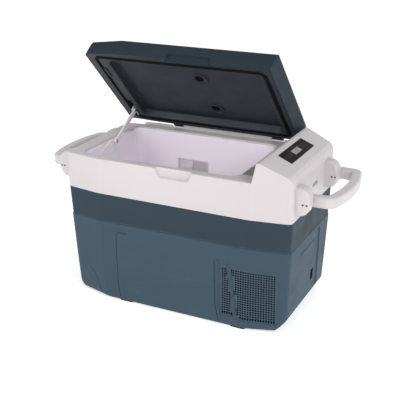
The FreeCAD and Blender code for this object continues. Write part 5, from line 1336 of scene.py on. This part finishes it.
for nm, mt in CARRY.items():
    ob = NODE[nm]
    ob.data.materials.clear()
    ob.data.materials.append(mt)
    mb = ob.modifiers.new("soft_edges", "BEVEL")
    mb.width = 0.0004
    mb.segments = 2
    mb.limit_method = "ANGLE"
    mb.angle_limit = math.radians(40)
left = [n for n, o in NODE.items() if not o.hide_render and n not in CARRY]
print("CAD nodes without their own material:", left)

# ------------------------------------------------------------------ stage
fl = bpy.data.meshes.new("floor")
R = 14.0
fl.from_pydata([(-R, -R, 0), (R, -R, 0), (R, R, 0), (-R, R, 0)], [], [(0, 1, 2, 3)])
floor = link(bpy.data.objects.new("floor", fl))
mf, nt, b = new_mat("pale_floor")
b.inputs["Base Color"].default_value = (0.95, 0.95, 0.95, 1)
b.inputs["Roughness"].default_value = 0.9
b.inputs["Specular IOR Level"].default_value = 0.1
b.inputs["Emission Color"].default_value = (1, 1, 1, 1)
b.inputs["Emission Strength"].default_value = 0.46
fl.materials.append(mf)

w = bpy.context.scene.world or bpy.data.worlds.new("world")
bpy.context.scene.world = w
w.use_nodes = True
bg = next(n for n in w.node_tree.nodes if n.type == "BACKGROUND")
bg.inputs["Color"].default_value = (1.0, 1.0, 1.0, 1)
# soft dome: white near the horizon, dimmer overhead
wt = w.node_tree
wc = wt.nodes.new("ShaderNodeTexCoord")
ws = wt.nodes.new("ShaderNodeSeparateXYZ")
wr = wt.nodes.new("ShaderNodeMapRange")
wr.interpolation_type = "SMOOTHSTEP"
wr.inputs[1].default_value, wr.inputs[2].default_value = 0.05, 0.65
wr.inputs[3].default_value, wr.inputs[4].default_value = 1.0, 0.50
wt.links.new(wc.outputs["Generated"], ws.inputs[0])
wt.links.new(ws.outputs[2], wr.inputs[0])
wt.links.new(wr.outputs[0], bg.inputs["Strength"])


def area(name, loc, target, size, power, color=(1, 1, 1), shape="RECTANGLE", size_y=None):
    l = bpy.data.lights.new(name, "AREA")
    l.shape = shape
    l.size = size
    l.size_y = size_y or size
    l.energy = power
    l.color = color
    ob = link(bpy.data.objects.new(name, l))
    ob.location = loc
    ob.rotation_mode = "QUATERNION"
    ob.rotation_quaternion = (Vector(target) - Vector(loc)).to_track_quat("-Z", "Y")
    return ob


area("key", (-1.9, -2.7, 2.1), (0, 0, 0.35), 1.8, 31)
area("side", (2.5, -1.3, 2.2), (0.2, 0, 0.3), 1.3, 38)
sp_ = bpy.data.lights.new("cabin_fill", "SPOT")
sp_.energy = 68
sp_.spot_size = math.radians(14)
sp_.spot_blend = 0.8
sp_.shadow_soft_size = 0.3
spo = link(bpy.data.objects.new("cabin_fill", sp_))
spo.location = (-0.05, -1.7, 2.1)
spo.rotation_mode = "QUATERNION"
spo.rotation_quaternion = (Vector((-0.07, 0.08, 0.34)) - Vector(spo.location)).to_track_quat("-Z", "Y")
bpy.context.scene.view_settings.view_transform = "Standard"

cam = bpy.data.cameras.new("cam")
cam.lens = 69.72
cam.sensor_width = 36.0
cam.clip_start = 0.05
cam.clip_end = 60
camo = link(bpy.data.objects.new("cam", cam))
camo.location = (0.98079, (-1985.66 - SH) / 1000, 1.14733)
camo.rotation_euler = (math.radians(68.29), 0, math.radians(25.79))
bpy.context.scene.camera = camo

bpy.context.view_layer.update()
